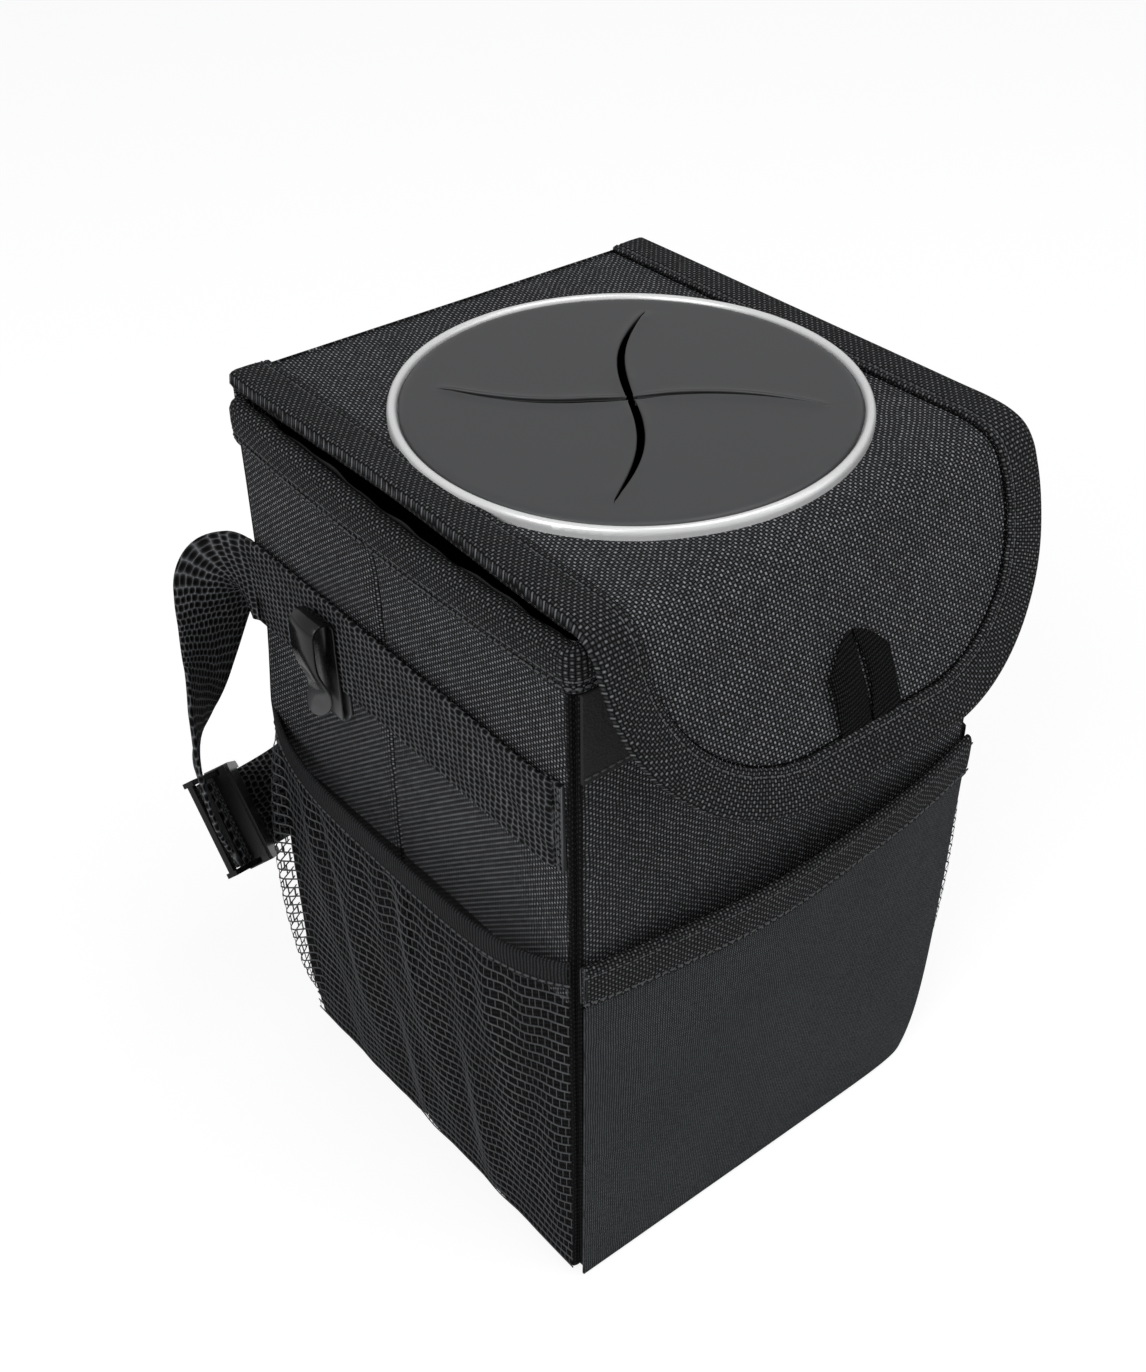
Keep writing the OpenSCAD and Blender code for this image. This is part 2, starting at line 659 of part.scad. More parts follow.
module lid_binding() {
    z1 = cover_top + sew + tape_t;
    edge = lid_half;
    core = edge - lid_tape_w;
    difference() {
        union() {
            translate([core, fold_y, lid_z]) cube([lid_tape_w, lid_back - fold_y, z1 - lid_z]);
            fold_arc(core, edge, fold_r - flap_stack - sew - tape_t, fold_r + sew + tape_t);
        }
        translate([core - 1, fold_y - 1, lid_z + tape_t])
            cube([lid_tape_w + 1 - tape_t, lid_back - fold_y + 2, cover_top + sew - lid_z - tape_t]);
        fold_arc(core - 1, edge - tape_t, fold_r - flap_stack - sew, fold_r + sew);
        fold_end_cut(core, edge);
        translate([0, port_y, lid_z - 1]) cylinder(r = ring_r + sew, h = z1 - lid_z + 2);
    }
}

// The slot of the tape runs out through the lower end of the fold
module fold_end_cut(x0, x1) {
    a = 90 + fold_turn - 1.5;
    points = concat(arc_points(fold_c, fold_r + sew, a, a + 4, 2),
        [for (b = [a + 4, a + 2, a]) fold_c + (fold_r - flap_stack - sew) * [cos(b), sin(b)]]);
    translate([x0 - 1, 0, 0]) rotate([90, 0, 90]) linear_extrude(x1 - x0 + 1 - tape_t) polygon(points);
}

module left_lid_binding() {
    color("#242527") mirror([1, 0, 0]) lid_binding();
}

module right_lid_binding() {
    color("#242527") lid_binding();
}

// Port: a bright ring with a round bead and a ledge, a retainer below, and a slitted rubber disc
module port_ring() {
    z = cover_top + sew;
    bead_r = ring_r - bead_w / 2;
    inner = ring_r - bead_w - ledge_w;
    color("#c9cbce") translate([0, port_y, 0]) rotate_extrude() union() {
        translate([ring_r - bead_w, z]) square([bead_w, bead_h - bead_w / 2]);
        intersection() {
            translate([bead_r, z + bead_h - bead_w / 2]) circle(d = bead_w, $fn = 20);
            translate([ring_r - bead_w, z]) square([bead_w, bead_h + 1]);
        }
        translate([inner, z]) square([ledge_w + 0.1, ledge_t]);
        translate([inner, retainer_z - 0.6]) square([sleeve_t, z - retainer_z + 0.8]);
    }
}

retainer_z = lid_z - 1.7;
module port_retainer() {
    color("#1e1f21") translate([0, port_y, retainer_z]) difference() {
        cylinder(r = ring_r - 2, h = lining_z - sew - retainer_z);
        translate([0, 0, -1]) cylinder(r = sleeve_r + 0.1, h = 9);
    }
}

// One curved slit, wide at the centre of the disc and pointed at its end
module slit() {
    path = [for (t = steps(0, 1, 12)) [slit_reach * t, slit_bend * sin(180 * t)]];
    half = [for (t = steps(0, 1, 12)) max(slit_w / 2 * (1 - pow(t, 3)), 0.25)];
    n = len(path) - 1;
    polygon(concat([for (i = [0 : n]) path[i] + [0, half[i]]], [for (i = [n : -1 : 0]) path[i] - [0, half[i]]]));
}

module port_disc() {
    z = cover_top + sew + ledge_t + sew;
    color("#3b3d40") translate([0, port_y, z]) difference() {
        cylinder(r = disc_r, h = disc_t);
        translate([0, 0, -1]) linear_extrude(disc_t + 2)
            for (i = [0 : slits - 1]) rotate(45 + 360 * i / slits) slit();
    }
}

// The flap is drawn flat, with its top edge on the X axis, and then hung at its lean
module on_flap() {
    translate([0, flap_top[0], flap_top[1]]) rotate([90 - flap_lean, 0, 0]) children();
}

module flap_outline(inset) {
    r = flap_r - inset;
    half = flap_half - inset;
    len = flap_len - inset;
    difference() {
        union() {
            for (s = [-1, 1]) translate([s * (half - r), r - len]) circle(r = r, $fn = 120);
            translate([r - half, -len]) square([2 * (half - r), len]);
            if (len > r) translate([-half, r - len]) square([2 * half, len - r]);
        }
        translate([-2 * half, -0.6]) square([4 * half, 2 * flap_len]);
    }
}

module flap_cover() {
    color("#1a1b1d") on_flap() translate([0, 0, -cloth_t]) linear_extrude(cloth_t) flap_outline(0);
}

module flap_lining() {
    color("#141516") on_flap() translate([0, 0, -flap_stack]) linear_extrude(liner_t) flap_outline(0);
}

module flap_binding() {
    low = -flap_stack - sew;
    color("#242527") on_flap() difference() {
        translate([0, 0, low - tape_t]) linear_extrude(flap_stack + 2 * sew + 2 * tape_t)
            flap_outline(-sew - tape_t);
        translate([0, 0, low]) linear_extrude(flap_stack + 2 * sew) union() {
            flap_outline(-sew);
            translate([-flap_half - sew, -1]) square([2 * flap_half + 2 * sew, 2]);
        }
        translate([0, 0, low - 5]) linear_extrude(20) union() {
            flap_outline(lid_tape_w);
            translate([lid_tape_w - flap_half, -1]) square([2 * (flap_half - lid_tape_w), 2]);
        }
    }
}

module hook_strip() {
    color("#0e0f10") on_flap() translate([-hook_w / 2, -hook_drop - hook_h, -flap_stack - sew - nap_t])
        cube([hook_w, hook_h, nap_t]);
}

// Pull tab: one tape folded into two legs that meet in a point at the top
module pull_tab() {
    base = lid_tape_w - flap_len + sew;
    half = tab_w + tab_split / 2;
    color("#151617") on_flap() translate([0, base + sew, sew]) linear_extrude(tab_t) difference() {
        polygon([[-half, 0], [half, 0], [half, tab_l * 0.62], [tab_w * 0.3, tab_l],
            [-tab_w * 0.3, tab_l], [-half, tab_l * 0.62]]);
        polygon([[-tab_split / 2, -1], [tab_split / 2, -1], [tab_split / 2, tab_l * 0.4],
            [tab_split * 0.9, tab_l * 0.6], [0, tab_l * 0.84], [-tab_split * 0.5, tab_l * 0.6]]);
    }
}

front_panel();
back_panel();
left_panel();
right_panel();
base_panel();
front_board();
back_board();
base_board();
liner();
rim_binding();
loop_strip();
front_pocket();
front_pocket_binding();
left_mesh_pocket();
right_mesh_pocket();
left_mesh_binding();
right_mesh_binding();
left_strap();
right_strap();
buckle_plug();
buckle_socket();
left_clip();
right_clip();
lid_cover();
lid_board();
lid_lining();
left_lid_binding();
right_lid_binding();
port_ring();
port_retainer();
port_disc();
flap_cover();
flap_lining();
flap_binding();
hook_strip();
pull_tab();
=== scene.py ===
import math

import bmesh
import bpy
import numpy as np
from mathutils import Matrix


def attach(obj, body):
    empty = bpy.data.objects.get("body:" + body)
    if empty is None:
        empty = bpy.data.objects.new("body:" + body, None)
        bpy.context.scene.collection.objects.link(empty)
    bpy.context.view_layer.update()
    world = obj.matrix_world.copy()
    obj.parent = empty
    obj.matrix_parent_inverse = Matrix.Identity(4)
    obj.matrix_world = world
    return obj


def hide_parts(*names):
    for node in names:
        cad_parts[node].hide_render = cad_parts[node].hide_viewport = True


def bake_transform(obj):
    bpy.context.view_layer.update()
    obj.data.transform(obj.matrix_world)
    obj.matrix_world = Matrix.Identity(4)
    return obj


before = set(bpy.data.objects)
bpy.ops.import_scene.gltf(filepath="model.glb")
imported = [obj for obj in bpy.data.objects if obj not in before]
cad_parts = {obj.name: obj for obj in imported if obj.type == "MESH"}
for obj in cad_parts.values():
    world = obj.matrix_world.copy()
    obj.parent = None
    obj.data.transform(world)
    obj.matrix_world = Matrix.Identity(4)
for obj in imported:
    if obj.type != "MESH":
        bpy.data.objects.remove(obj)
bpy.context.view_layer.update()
scene = bpy.context.scene
scene.view_settings.view_transform = "Standard"

# Camera. The photograph looks down at the bin from above its front left corner, from about
# 0.78 m away, with a normal lens.
def placed_in_scene(name, data):
    """A new object in the scene."""
    made = bpy.data.objects.new(name, data)
    scene.collection.objects.link(made)
    return made


camera = placed_in_scene("camera", bpy.data.cameras.new("camera"))
camera.matrix_world = Matrix((
    (0.77350654, 0.39762864, -0.49353733, -0.33691),
    (-0.63376686, 0.47886147, -0.60747943, -0.39192),
    (-0.00521521, 0.78267692, 0.62240633, 0.57669),
    (0, 0, 0, 1)))
camera.data.lens = 52.41
camera.data.clip_start = 0.05
scene.camera = camera

# Studio. The bin stands on white paper in a white surround. A soft box lights it from the left,
# with a weaker one at the front right and one overhead, as product photographs are lit.
def feed(tree, socket, value):
    """Links another node's output to a socket, or sets the socket's own value."""
    if isinstance(value, bpy.types.NodeSocket):
        tree.links.new(value, socket)
    else:
        socket.default_value = value


def node(tree, kind, **inputs):
    """A new node with its inputs fed; an underscore stands for a space in an input's name."""
    made = tree.nodes.new(kind)
    for label, value in inputs.items():
        feed(tree, made.inputs[label.replace("_", " ")], value)
    return made


def calc(tree, kind, *values):
    """What a Math node makes of numbers and of other nodes' outputs."""
    made = tree.nodes.new("ShaderNodeMath")
    made.operation = kind
    for socket, value in zip(made.inputs, values):
        feed(tree, socket, value)
    return made.outputs[0]


floor_half, floor_z = 4, -0.0004
floor_corners = [(x * floor_half, y * floor_half, floor_z) for x, y in ((-1, -1), (1, -1), (1, 1), (-1, 1))]
floor = placed_in_scene("floor", bpy.data.meshes.new("floor"))
floor.data.from_pydata(floor_corners, [], [(0, 1, 2, 3)])
paper = bpy.data.materials.new("white_paper")
paper.use_nodes = True
tree = paper.node_tree
tree.nodes.clear()
lit = node(tree, "ShaderNodeBsdfDiffuse", Color=(0.8, 0.8, 0.8, 1))
shadowed = node(tree, "ShaderNodeBsdfDiffuse", Color=(0.32, 0.32, 0.33, 1))
glow = node(tree, "ShaderNodeEmission", Strength=0.83)
both = tree.nodes.new("ShaderNodeAddShader")
feed(tree, both.inputs[0], shadowed.outputs[0])
feed(tree, both.inputs[1], glow.outputs[0])
ray = tree.nodes.new("ShaderNodeLightPath")
pick = tree.nodes.new("ShaderNodeMixShader")
feed(tree, pick.inputs[0], ray.outputs["Is Camera Ray"])
feed(tree, pick.inputs[1], lit.outputs[0])
feed(tree, pick.inputs[2], both.outputs[0])
node(tree, "ShaderNodeOutputMaterial", Surface=pick.outputs[0])
floor.data.materials.append(paper)

surround = bpy.data.worlds.new("surround")
scene.world = surround
surround.use_nodes = True
tree = surround.node_tree
ray = tree.nodes.new("ShaderNodeLightPath")
mirrored = calc(tree, "MULTIPLY_ADD", ray.outputs["Is Glossy Ray"], 0.3, 0.2)
backdrop = tree.nodes["Background"].inputs
feed(tree, backdrop["Color"], (1, 1, 1, 1))
feed(tree, backdrop["Strength"], calc(tree, "MAXIMUM", mirrored, ray.outputs["Is Camera Ray"]))

for name, place, aim, size, watts in (
        ("soft_box_left", (-1.5, -0.5, 1.4), (0, 0, 0.12), 1.1, 17),
        ("soft_box_front", (1.2, -1.4, 0.9), (0, 0, 0.12), 1.2, 4.2),
        ("soft_box_top", (0.3, -0.7, 1.8), (0, 0, 0.2), 1.2, 9.5)):
    lamp = placed_in_scene(name, bpy.data.lights.new(name, "AREA"))
    lamp.data.size = size
    lamp.data.energy = watts
    back = np.subtract(place, aim) / np.linalg.norm(np.subtract(place, aim))
    side = np.cross((0, 0, 1), back) / np.linalg.norm(np.cross((0, 0, 1), back))
    turn = np.identity(4)
    turn[:3] = np.column_stack([side, np.cross(back, side), back, place])
    lamp.matrix_world = Matrix(turn.tolist())

# Walls. One woven box of plain polyester over stiff boards: the corners are soft, and the left
# and right sides fold in at a pressed crease when the bin is put away flat.
MM = 0.001
base_half_w, base_half_d, flare, tall = 81.5, 78.5, 3.5, 270
crease_y = 9
cloth_thick = 1.2


def skin(name, points, uvs, material, wrap=False, loop=False, caps=False, flip=False):
    """A piece from rows and columns of points in mm; wrap joins the columns, and loop joins the rows or
    caps closes them, so that the piece is closed and its faces turn outwards."""
    rows, cols = points.shape[:2]
    wide = uvs.shape[1]
    i, j = np.meshgrid(np.arange(cols - (not wrap)), np.arange(rows - (not loop)))
    far_i, far_j = (i + 1) % cols, (j + 1) % rows
    quads = np.stack([j * cols + i, j * cols + far_i, far_j * cols + far_i, far_j * cols + i], -1)
    corners = np.stack([j * wide + i, j * wide + i + 1, (j + 1) * wide + i + 1, (j + 1) * wide + i], -1)
    quads, corners = quads.reshape(-1, 4), corners.reshape(-1, 4)
    if flip:
        quads, corners = quads[:, ::-1], corners[:, ::-1]
    faces = quads.tolist()
    flat_uv = uvs.reshape(-1, 2)[corners.ravel()]
    if caps:
        for start in (0, (rows - 1) * cols):
            faces.append(list(range(start, start + cols)))
            flat_uv = np.vstack([flat_uv, points.reshape(-1, 3)[start:start + cols, :2] * MM])
    mesh = bpy.data.meshes.new(name)
    mesh.from_pydata((points.reshape(-1, 3) * MM).tolist(), [], faces)
    mesh.uv_layers.new(name="weave").data.foreach_set("uv", flat_uv.astype(np.float32).ravel())
    mesh.polygons.foreach_set("use_smooth", [True] * len(faces))
    if loop or caps:
        work = bmesh.new()
        work.from_mesh(mesh)
        bmesh.ops.recalc_face_normals(work, faces=work.faces)
        work.to_mesh(mesh)
        work.free()
    mesh.materials.append(material)
    return placed_in_scene(name, mesh)


def thicken(piece, layer, thickness, offset=-1):
    """Gives a sheet its thickness in mm, as a modifier that stays live."""
    solid = piece.modifiers.new(layer, "SOLIDIFY")
    solid.thickness = thickness * MM
    solid.offset = offset


def lengths(points):
    """How far along a row of points each one is, in metres."""
    return np.concatenate([[0], np.cumsum(np.linalg.norm(np.diff(points, axis=0), axis=1))]) * MM


def new_material(name):
    """A new material, its node tree, and the inputs of its shader."""
    material = bpy.data.materials.new(name)
    material.use_nodes = True
    return material, material.node_tree, material.node_tree.nodes["Principled BSDF"].inputs


def mixed(tree, share, first, second):
    """The colour that lies by a share between two others."""
    mix = tree.nodes.new("ShaderNodeMix")
    mix.data_type = "RGBA"
    for place, value in ((0, share), (6, first), (7, second)):
        feed(tree, mix.inputs[place], value)
    return mix.outputs[2]


def vector(tree, **parts):
    """A vector made of the parts given, the others being 0."""
    return node(tree, "ShaderNodeCombineXYZ", **parts).outputs[0]


def fabric(name, dark, light, pitch, relief, uneven=0.6, shine=0.12, under=1.0, holes=False):
    """Cloth on the UV map, in metres: threads pass over and under, each a little different. Its colour
    is painted shade in the hollows between threads and painted highlight on their tops. under scales the
    crossing threads' height, and so their painted highlight; with holes, threads run round staggered
    holes painted dark as shade."""
    material, tree, body = new_material(name)
    uv = tree.nodes.new("ShaderNodeUVMap")
    uv.uv_map = "weave"
    parts = node(tree, "ShaderNodeSeparateXYZ", Vector=uv.outputs[0])
    sway = node(tree, "ShaderNodeTexNoise", Vector=uv.outputs[0], Scale=90)
    bend = calc(tree, "MULTIPLY", calc(tree, "SUBTRACT", sway.outputs["Fac"], 0.5), 1.4)
    x = calc(tree, "ADD", calc(tree, "DIVIDE", parts.outputs[0], pitch[0]), bend)
    y = calc(tree, "ADD", calc(tree, "DIVIDE", parts.outputs[1], pitch[1]), bend)
    if holes:
        x = calc(tree, "ADD", x, calc(tree, "MULTIPLY", calc(tree, "FLOOR", y), 0.5))
    across = calc(tree, "ABSOLUTE", calc(tree, "SINE", calc(tree, "MULTIPLY", x, math.pi)))
    along = calc(tree, "ABSOLUTE", calc(tree, "SINE", calc(tree, "MULTIPLY", y, math.pi)))
    cell_x, cell_y = calc(tree, "FLOOR", x), calc(tree, "FLOOR", y)
    if holes:
        height = calc(tree, "SUBTRACT", 1.0, calc(tree, "POWER", calc(tree, "MULTIPLY", across, along), 0.7))
    else:
        over = calc(tree, "FLOORED_MODULO", calc(tree, "ADD", cell_x, cell_y), 2.0)
        warp = calc(tree, "MULTIPLY", across, calc(tree, "POWER", along, 0.35))
        weft = calc(tree, "MULTIPLY", along, calc(tree, "POWER", across, 0.35))
        crossing = calc(tree, "MULTIPLY", calc(tree, "SUBTRACT", 1.0, over), under)
        height = calc(tree, "ADD", calc(tree, "MULTIPLY", over, warp), calc(tree, "MULTIPLY", crossing, weft))
    chance = node(tree, "ShaderNodeTexWhiteNoise", Vector=vector(tree, X=cell_x, Y=cell_y))
    chance.noise_dimensions = "2D"
    patch = node(tree, "ShaderNodeTexNoise", Vector=uv.outputs[0], Scale=22, Detail=3)
    tone = calc(tree, "MULTIPLY_ADD", chance.outputs["Value"], uneven, 1.0 - uneven * 0.55)
    tone = calc(tree, "MULTIPLY", tone, calc(tree, "MULTIPLY_ADD", patch.outputs["Fac"], 0.5, 0.75))
    # Painted light and shade: the colour is light where the threads stand high and dark in the hollows.
    painted_light_share = calc(tree, "MULTIPLY", calc(tree, "POWER", height, 2.8), tone)
    feed(tree, body["Base Color"], mixed(tree, painted_light_share, (*dark, 1), (*light, 1)))
    bump = node(tree, "ShaderNodeBump", Strength=1.0, Distance=relief, Height=height)
    feed(tree, body["Normal"], bump.outputs[0])
    feed(tree, body["Roughness"], 0.8)
    feed(tree, body["Specular IOR Level"], shine)
    return material


def half_sizes(z):
    """Half width and half depth of the bin's outer faces at a height, in mm."""
    return base_half_w + flare * z / tall, base_half_d + flare * z / tall


def side_out(y, z):
    """How far a side wall stands out of its plane: crease, slack at the back, and bow of the rim's hem."""
    from_crease = y - crease_y
    crease = -0.7 * np.clip(1 - np.abs(from_crease) / 5, 0, 1) - 1.3 * np.exp(-(from_crease / 0.8) ** 2)
    crease = crease * np.clip((262 - z) / 12, 0, 1) + 0.4 * np.sin(y * 0.06 + z * 0.021) * np.sin(z * 0.033)
    full = 3.2 * np.exp(-((y - 80) / 20) ** 2) * np.clip((186 - z) / 30, 0, 1) * np.clip(z / 25, 0, 1)
    bow = 1.7 * np.exp(-((tall - z) / 22.0) ** 2) * (1 - (y / 84.0) ** 4)
    return crease + bow + full


def droop(x, y):
    """How far lid and rim hang lower towards the back right corner, as the soft walls give there."""
    return -7 * np.clip((x + 82) / 164, 0, 1) * np.clip((y + 70) / 154, 0, 1)


def ring(z, inset, plain_corner, lift=side_out, seam=0.0):
    """Points round the walls at one height with their outward normals. The left and right sides follow
    lift, seam sinks the middle of each corner, and the walls' foot is rounder at the front right."""
    half_w, half_d = half_sizes(z)
    half_w, half_d = half_w - inset, half_d - inset
    points, normals = [], []
    foot = 9 * math.exp(-z / 18) if lift is side_out else 0
    corners = [plain_corner, plain_corner + foot, plain_corner, plain_corner]
    for side, (sx, sy) in enumerate(((-1, -1), (1, -1), (1, 1), (-1, 1))):
        start = math.pi + side * math.pi / 2
        corner = corners[side]
        sinks = (0.1, 0.1, 0.1, 0.55, 1, 0.55, 0.1, 0.1, 0.1)
        for a, sink in zip(np.linspace(start, start + math.pi / 2, len(sinks)), sinks):
            r = corner - seam * sink
            x, y = sx * (half_w - corner) + r * math.cos(a), sy * (half_d - corner) + r * math.sin(a)
            points.append((x, y))
            normals.append((math.cos(a), math.sin(a)))
        widest = max(corner, corners[(side + 1) % 4])
        run_x, run_y = half_w - widest, half_d - widest
        near_crease = np.array([-3, -2, -1.3, -0.8, -0.4, 0, 0.4, 0.8, 1.3, 2, 3]) / 79
        crease_at = crease_y / 77.5
        steps = [np.linspace(-0.97, 0.97, 41), near_crease - crease_at, near_crease + crease_at]
        for t in np.sort(np.concatenate(steps)):
            wall = (run_x * t, -half_d), (half_w, run_y * t), (-run_x * t, half_d), (-half_w, -run_y * t)
            points.append(wall[side])
            normals.append(((0, -1), (1, 0), (0, 1), (-1, 0))[side])
    points, normals = np.array(points), np.array(normals)
    out = lift(points[:, 1], z) * np.abs(normals[:, 0]) ** 4
    points = points + normals * out[:, None]
    left = np.clip(-points[:, 0] / half_w, 0, 1) ** 6
    sag = -2.6 * np.exp(-((points[:, 1] + 8) / 42) ** 2) * left * np.clip((z - 225) / 43, 0, 1)
    sag += droop(points[:, 0], points[:, 1]) * np.clip((z - 190) / 78, 0, 1)
    return np.column_stack([points, z + sag]), normals


def stack_rings(rings):
    """Rows of rings with their UVs: round the middle ring, and up a line on the front."""
    points = np.array(rings)
    middle = points[len(points) // 2]
    u = lengths(np.vstack([middle, middle[:1]]))
    v = lengths(points[:, 20])
    return points, np.stack(np.meshgrid(u, v), -1)


shell_cloth = fabric("woven_polyester", (0.0015, 0.0015, 0.0017), (0.36, 0.371, 0.394), (0.0012, 0.0010),
                     0.0003, uneven=0.75, under=0.6)
# A far darker copy of the wall cloth, as painted shade behind the nets and in the corner seams.
shaded_cloth = fabric("woven_polyester_painted_shade", (0.0008, 0.0008, 0.001), (0.035, 0.036, 0.039),
                      (0.0012, 0.0010), 0.0003, under=0.5)
turned_under = [(0, 3.6), (0, 2.2), (0.3, 1.1), (1.2, 0.3), (2.6, 0)]
upright = [(z, 0) for z in np.linspace(5, 268.6, 66)]
wall_rings = []
for z, inset in turned_under + upright:
    wall_rings.append(ring(z, inset, 3.2 + 2.5 * math.exp(-z / 14), seam=2.0)[0])
walls = skin("walls", *stack_rings(wall_rings), shell_cloth, wrap=True)
work = bmesh.new()
work.from_mesh(walls.data)
work.verts.ensure_lookup_table()
bottom = work.faces.new([work.verts[i] for i in reversed(range(len(wall_rings[0])))])
weave = work.loops.layers.uv.active
for corner in bottom.loops:
    corner[weave].uv = corner.vert.co.xy
work.to_mesh(walls.data)
work.free()
walls.data.materials.append(shaded_cloth)
# Painted shade: faces behind the nets and in the sunk corner seams take the darker copy of the cloth.
for face in walls.data.polygons:
    x, y, z = abs(face.center.x) / MM, abs(face.center.y) / MM, face.center.z / MM
    wide, deep = half_sizes(z)
    behind_net = x > 79 and y < 77 and z < 134
    in_corner_seam = wide - x < 3.4 and deep - y < 3.4
    face.material_index = 1 if behind_net or in_corner_seam else 0
thicken(walls, "cloth", cloth_thick)
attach(walls, "bin")
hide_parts("front_panel", "back_panel", "left_panel", "right_panel", "base_panel")

# Boards. Flat sheets of stiff plastic in the front, the back, the base and the lid; they show
# only as the flatness of those walls, and the lid's has a round hole for the port.
def plain(name, colour, roughness, grain=400, relief=0.00002, metallic=0.0, spread=0.15, specular=0.5):
    """A moulded or rolled material with fine grain and slight unevenness, on Object coordinates."""
    material, tree, body = new_material(name)
    place = tree.nodes.new("ShaderNodeTexCoord").outputs["Object"]
    fine = node(tree, "ShaderNodeTexNoise", Vector=place, Scale=grain, Detail=4).outputs["Fac"]
    wide = node(tree, "ShaderNodeTexNoise", Vector=place, Scale=grain * 0.06).outputs["Fac"]
    darker = [c * (1 - spread) for c in colour]
    lighter = [min(c * (1 + spread), 1) for c in colour]
    feed(tree, body["Base Color"], mixed(tree, wide, (*darker, 1), (*lighter, 1)))
    feed(tree, body["Roughness"], calc(tree, "MULTIPLY_ADD", wide, 0.1, roughness - 0.05))
    feed(tree, body["Normal"], node(tree, "ShaderNodeBump", Distance=relief, Height=fine).outputs[0])
    feed(tree, body["Metallic"], metallic)
    feed(tree, body["Specular IOR Level"], specular)
    return material


def coat_node(name, material):
    """Gives one of the CAD nodes its finish."""
    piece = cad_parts[name]
    piece.data.materials.clear()
    piece.data.materials.append(material)
    return piece


board_sheet = plain("stiff_board", (0.25, 0.25, 0.26), 0.7)
coat_node("back_board", board_sheet)
board_z = np.concatenate([np.linspace(3.3, 40, 14), [256.8]])
half_board, half_deep = half_sizes(board_z)
left_cut = 4.8 - half_board
right_cut = half_board - 4.8 - 6.8 * np.exp(-board_z / 18)
front_edges = ((left_cut, 1.4), (right_cut, 1.4), (right_cut, 3.0), (left_cut, 3.0))
front_rows = np.array([np.stack([x, y - half_deep, board_z], -1) for x, y in front_edges]).transpose(1, 0, 2)
base_rows = np.array([ring(z, 2.7, 3)[0] for z in (1.45, 2.95)])
for name, rows in (("front_board", front_rows), ("base_board", base_rows)):
    flat_uv = np.pad(rows[:, :, [0, 2]], ((0, 0), (0, 1), (0, 0)), mode="wrap") * MM
    board = skin(name + "_sheet", rows, flat_uv, board_sheet, wrap=True, caps=True)
    board.data.polygons.foreach_set("use_smooth", [False] * len(board.data.polygons))
    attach(board, "bin")
    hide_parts(name)
port_y, board_hole_r, board_low, board_high = -5, 63.4, 272.2, 273.5
angles = np.linspace(0, 2 * math.pi, 97)[:-1]
cos, sin = np.cos(angles), np.sin(angles)
edge_line = np.stack([70 * np.clip(1.5 * cos, -1, 1), 5 + 75 * np.clip(1.5 * sin, -1, 1)], -1)
hole_line = np.stack([board_hole_r * cos, board_hole_r * sin + port_y], -1)
lines, levels = (hole_line, edge_line, edge_line, hole_line), (board_low, board_low, board_high, board_high)
board_rows = np.array([np.column_stack([line, np.full(len(line), z)]) for line, z in zip(lines, levels)])
board_rows[:, :, 2] += droop(board_rows[:, :, 0], board_rows[:, :, 1])
board_uv = np.pad(board_rows[:, :, :2], ((0, 1), (0, 1), (0, 0)), mode="wrap") * MM
lid_board = skin("lid_board_sheet", board_rows, board_uv, board_sheet, wrap=True, loop=True)
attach(lid_board, "lid")
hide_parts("lid_board")

# Liner. A waterproof bag of coated cloth hangs from the rim inside the walls. It is loose, so it
# has soft vertical folds and sits a little away from the boards.
def liner_lift(y, z):
    """How far the liner's sides stand off their plane."""
    return -0.5 - 0.5 * np.sin(y * 0.16 + z * 0.02) * np.sin(z * 0.035 + 1) - 0.35 * np.sin(y * 0.37 + 2)


liner_thick = 0.4
coated = plain("coated_liner", (0.012, 0.012, 0.013), 0.42, grain=900, relief=0.00003)
bag_rings = [ring(z, 3.9, 5, liner_lift)[0] for z in np.linspace(268, 9, 40)]
bag_rings += [ring(z, inset, 5, liner_lift)[0] for z, inset in ((6.2, 4.6), (5, 6.5), (4.5, 14), (4.4, 45))]
bag_rings.append(ring(4.4, 74, 1, lambda y, z: 0 * y)[0])
liner = skin("liner_bag", *stack_rings(bag_rings), coated, wrap=True)
thicken(liner, "cloth", liner_thick)
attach(liner, "bin")
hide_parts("liner")

# Rim tape. A woven tape is folded over the top edge of walls and liner, with both legs caught by
# two rows of stitches; the bin's rim sags with it in the middle of the left side.
rim_z, rim_corner = 268.8, 3.6


def tape_section(width, low, high, lip, groove=2.4, hollow=0.6):
    """Points round a folded tape, outside and then inside: how far past the edge, and off the sheet."""
    middle, thick = (low + high) / 2, (high - low) / 2
    leg = [(-width, 0.4), (-width + 0.25, 0.85), (-width + groove - 1, 0.98), (-width + groove, 0.78),
           (-width + groove + 1, 0.98), (-width * 0.45, 1.08), (-1.6, 1.04), (-0.2, 0.86), (lip * 0.7, 0.5),
           (lip, 0)]
    inner = [(a - 0.7 if a > -1.5 else a, b * hollow) for a, b in leg]
    outside = [(a, middle + thick * b) for a, b in leg] + [(a, middle - thick * b) for a, b in leg[-2::-1]]
    inside = [(a, middle - thick * b) for a, b in inner] + [(a, middle + thick * b) for a, b in inner[-2::-1]]
    return outside + inside


def tape_uv(along, section):
    """UVs of a tape: along it, and round its section."""
    around = lengths(np.array(section + section[:1]))
    return np.stack(np.meshgrid(along, around, indexing="ij"), -1)


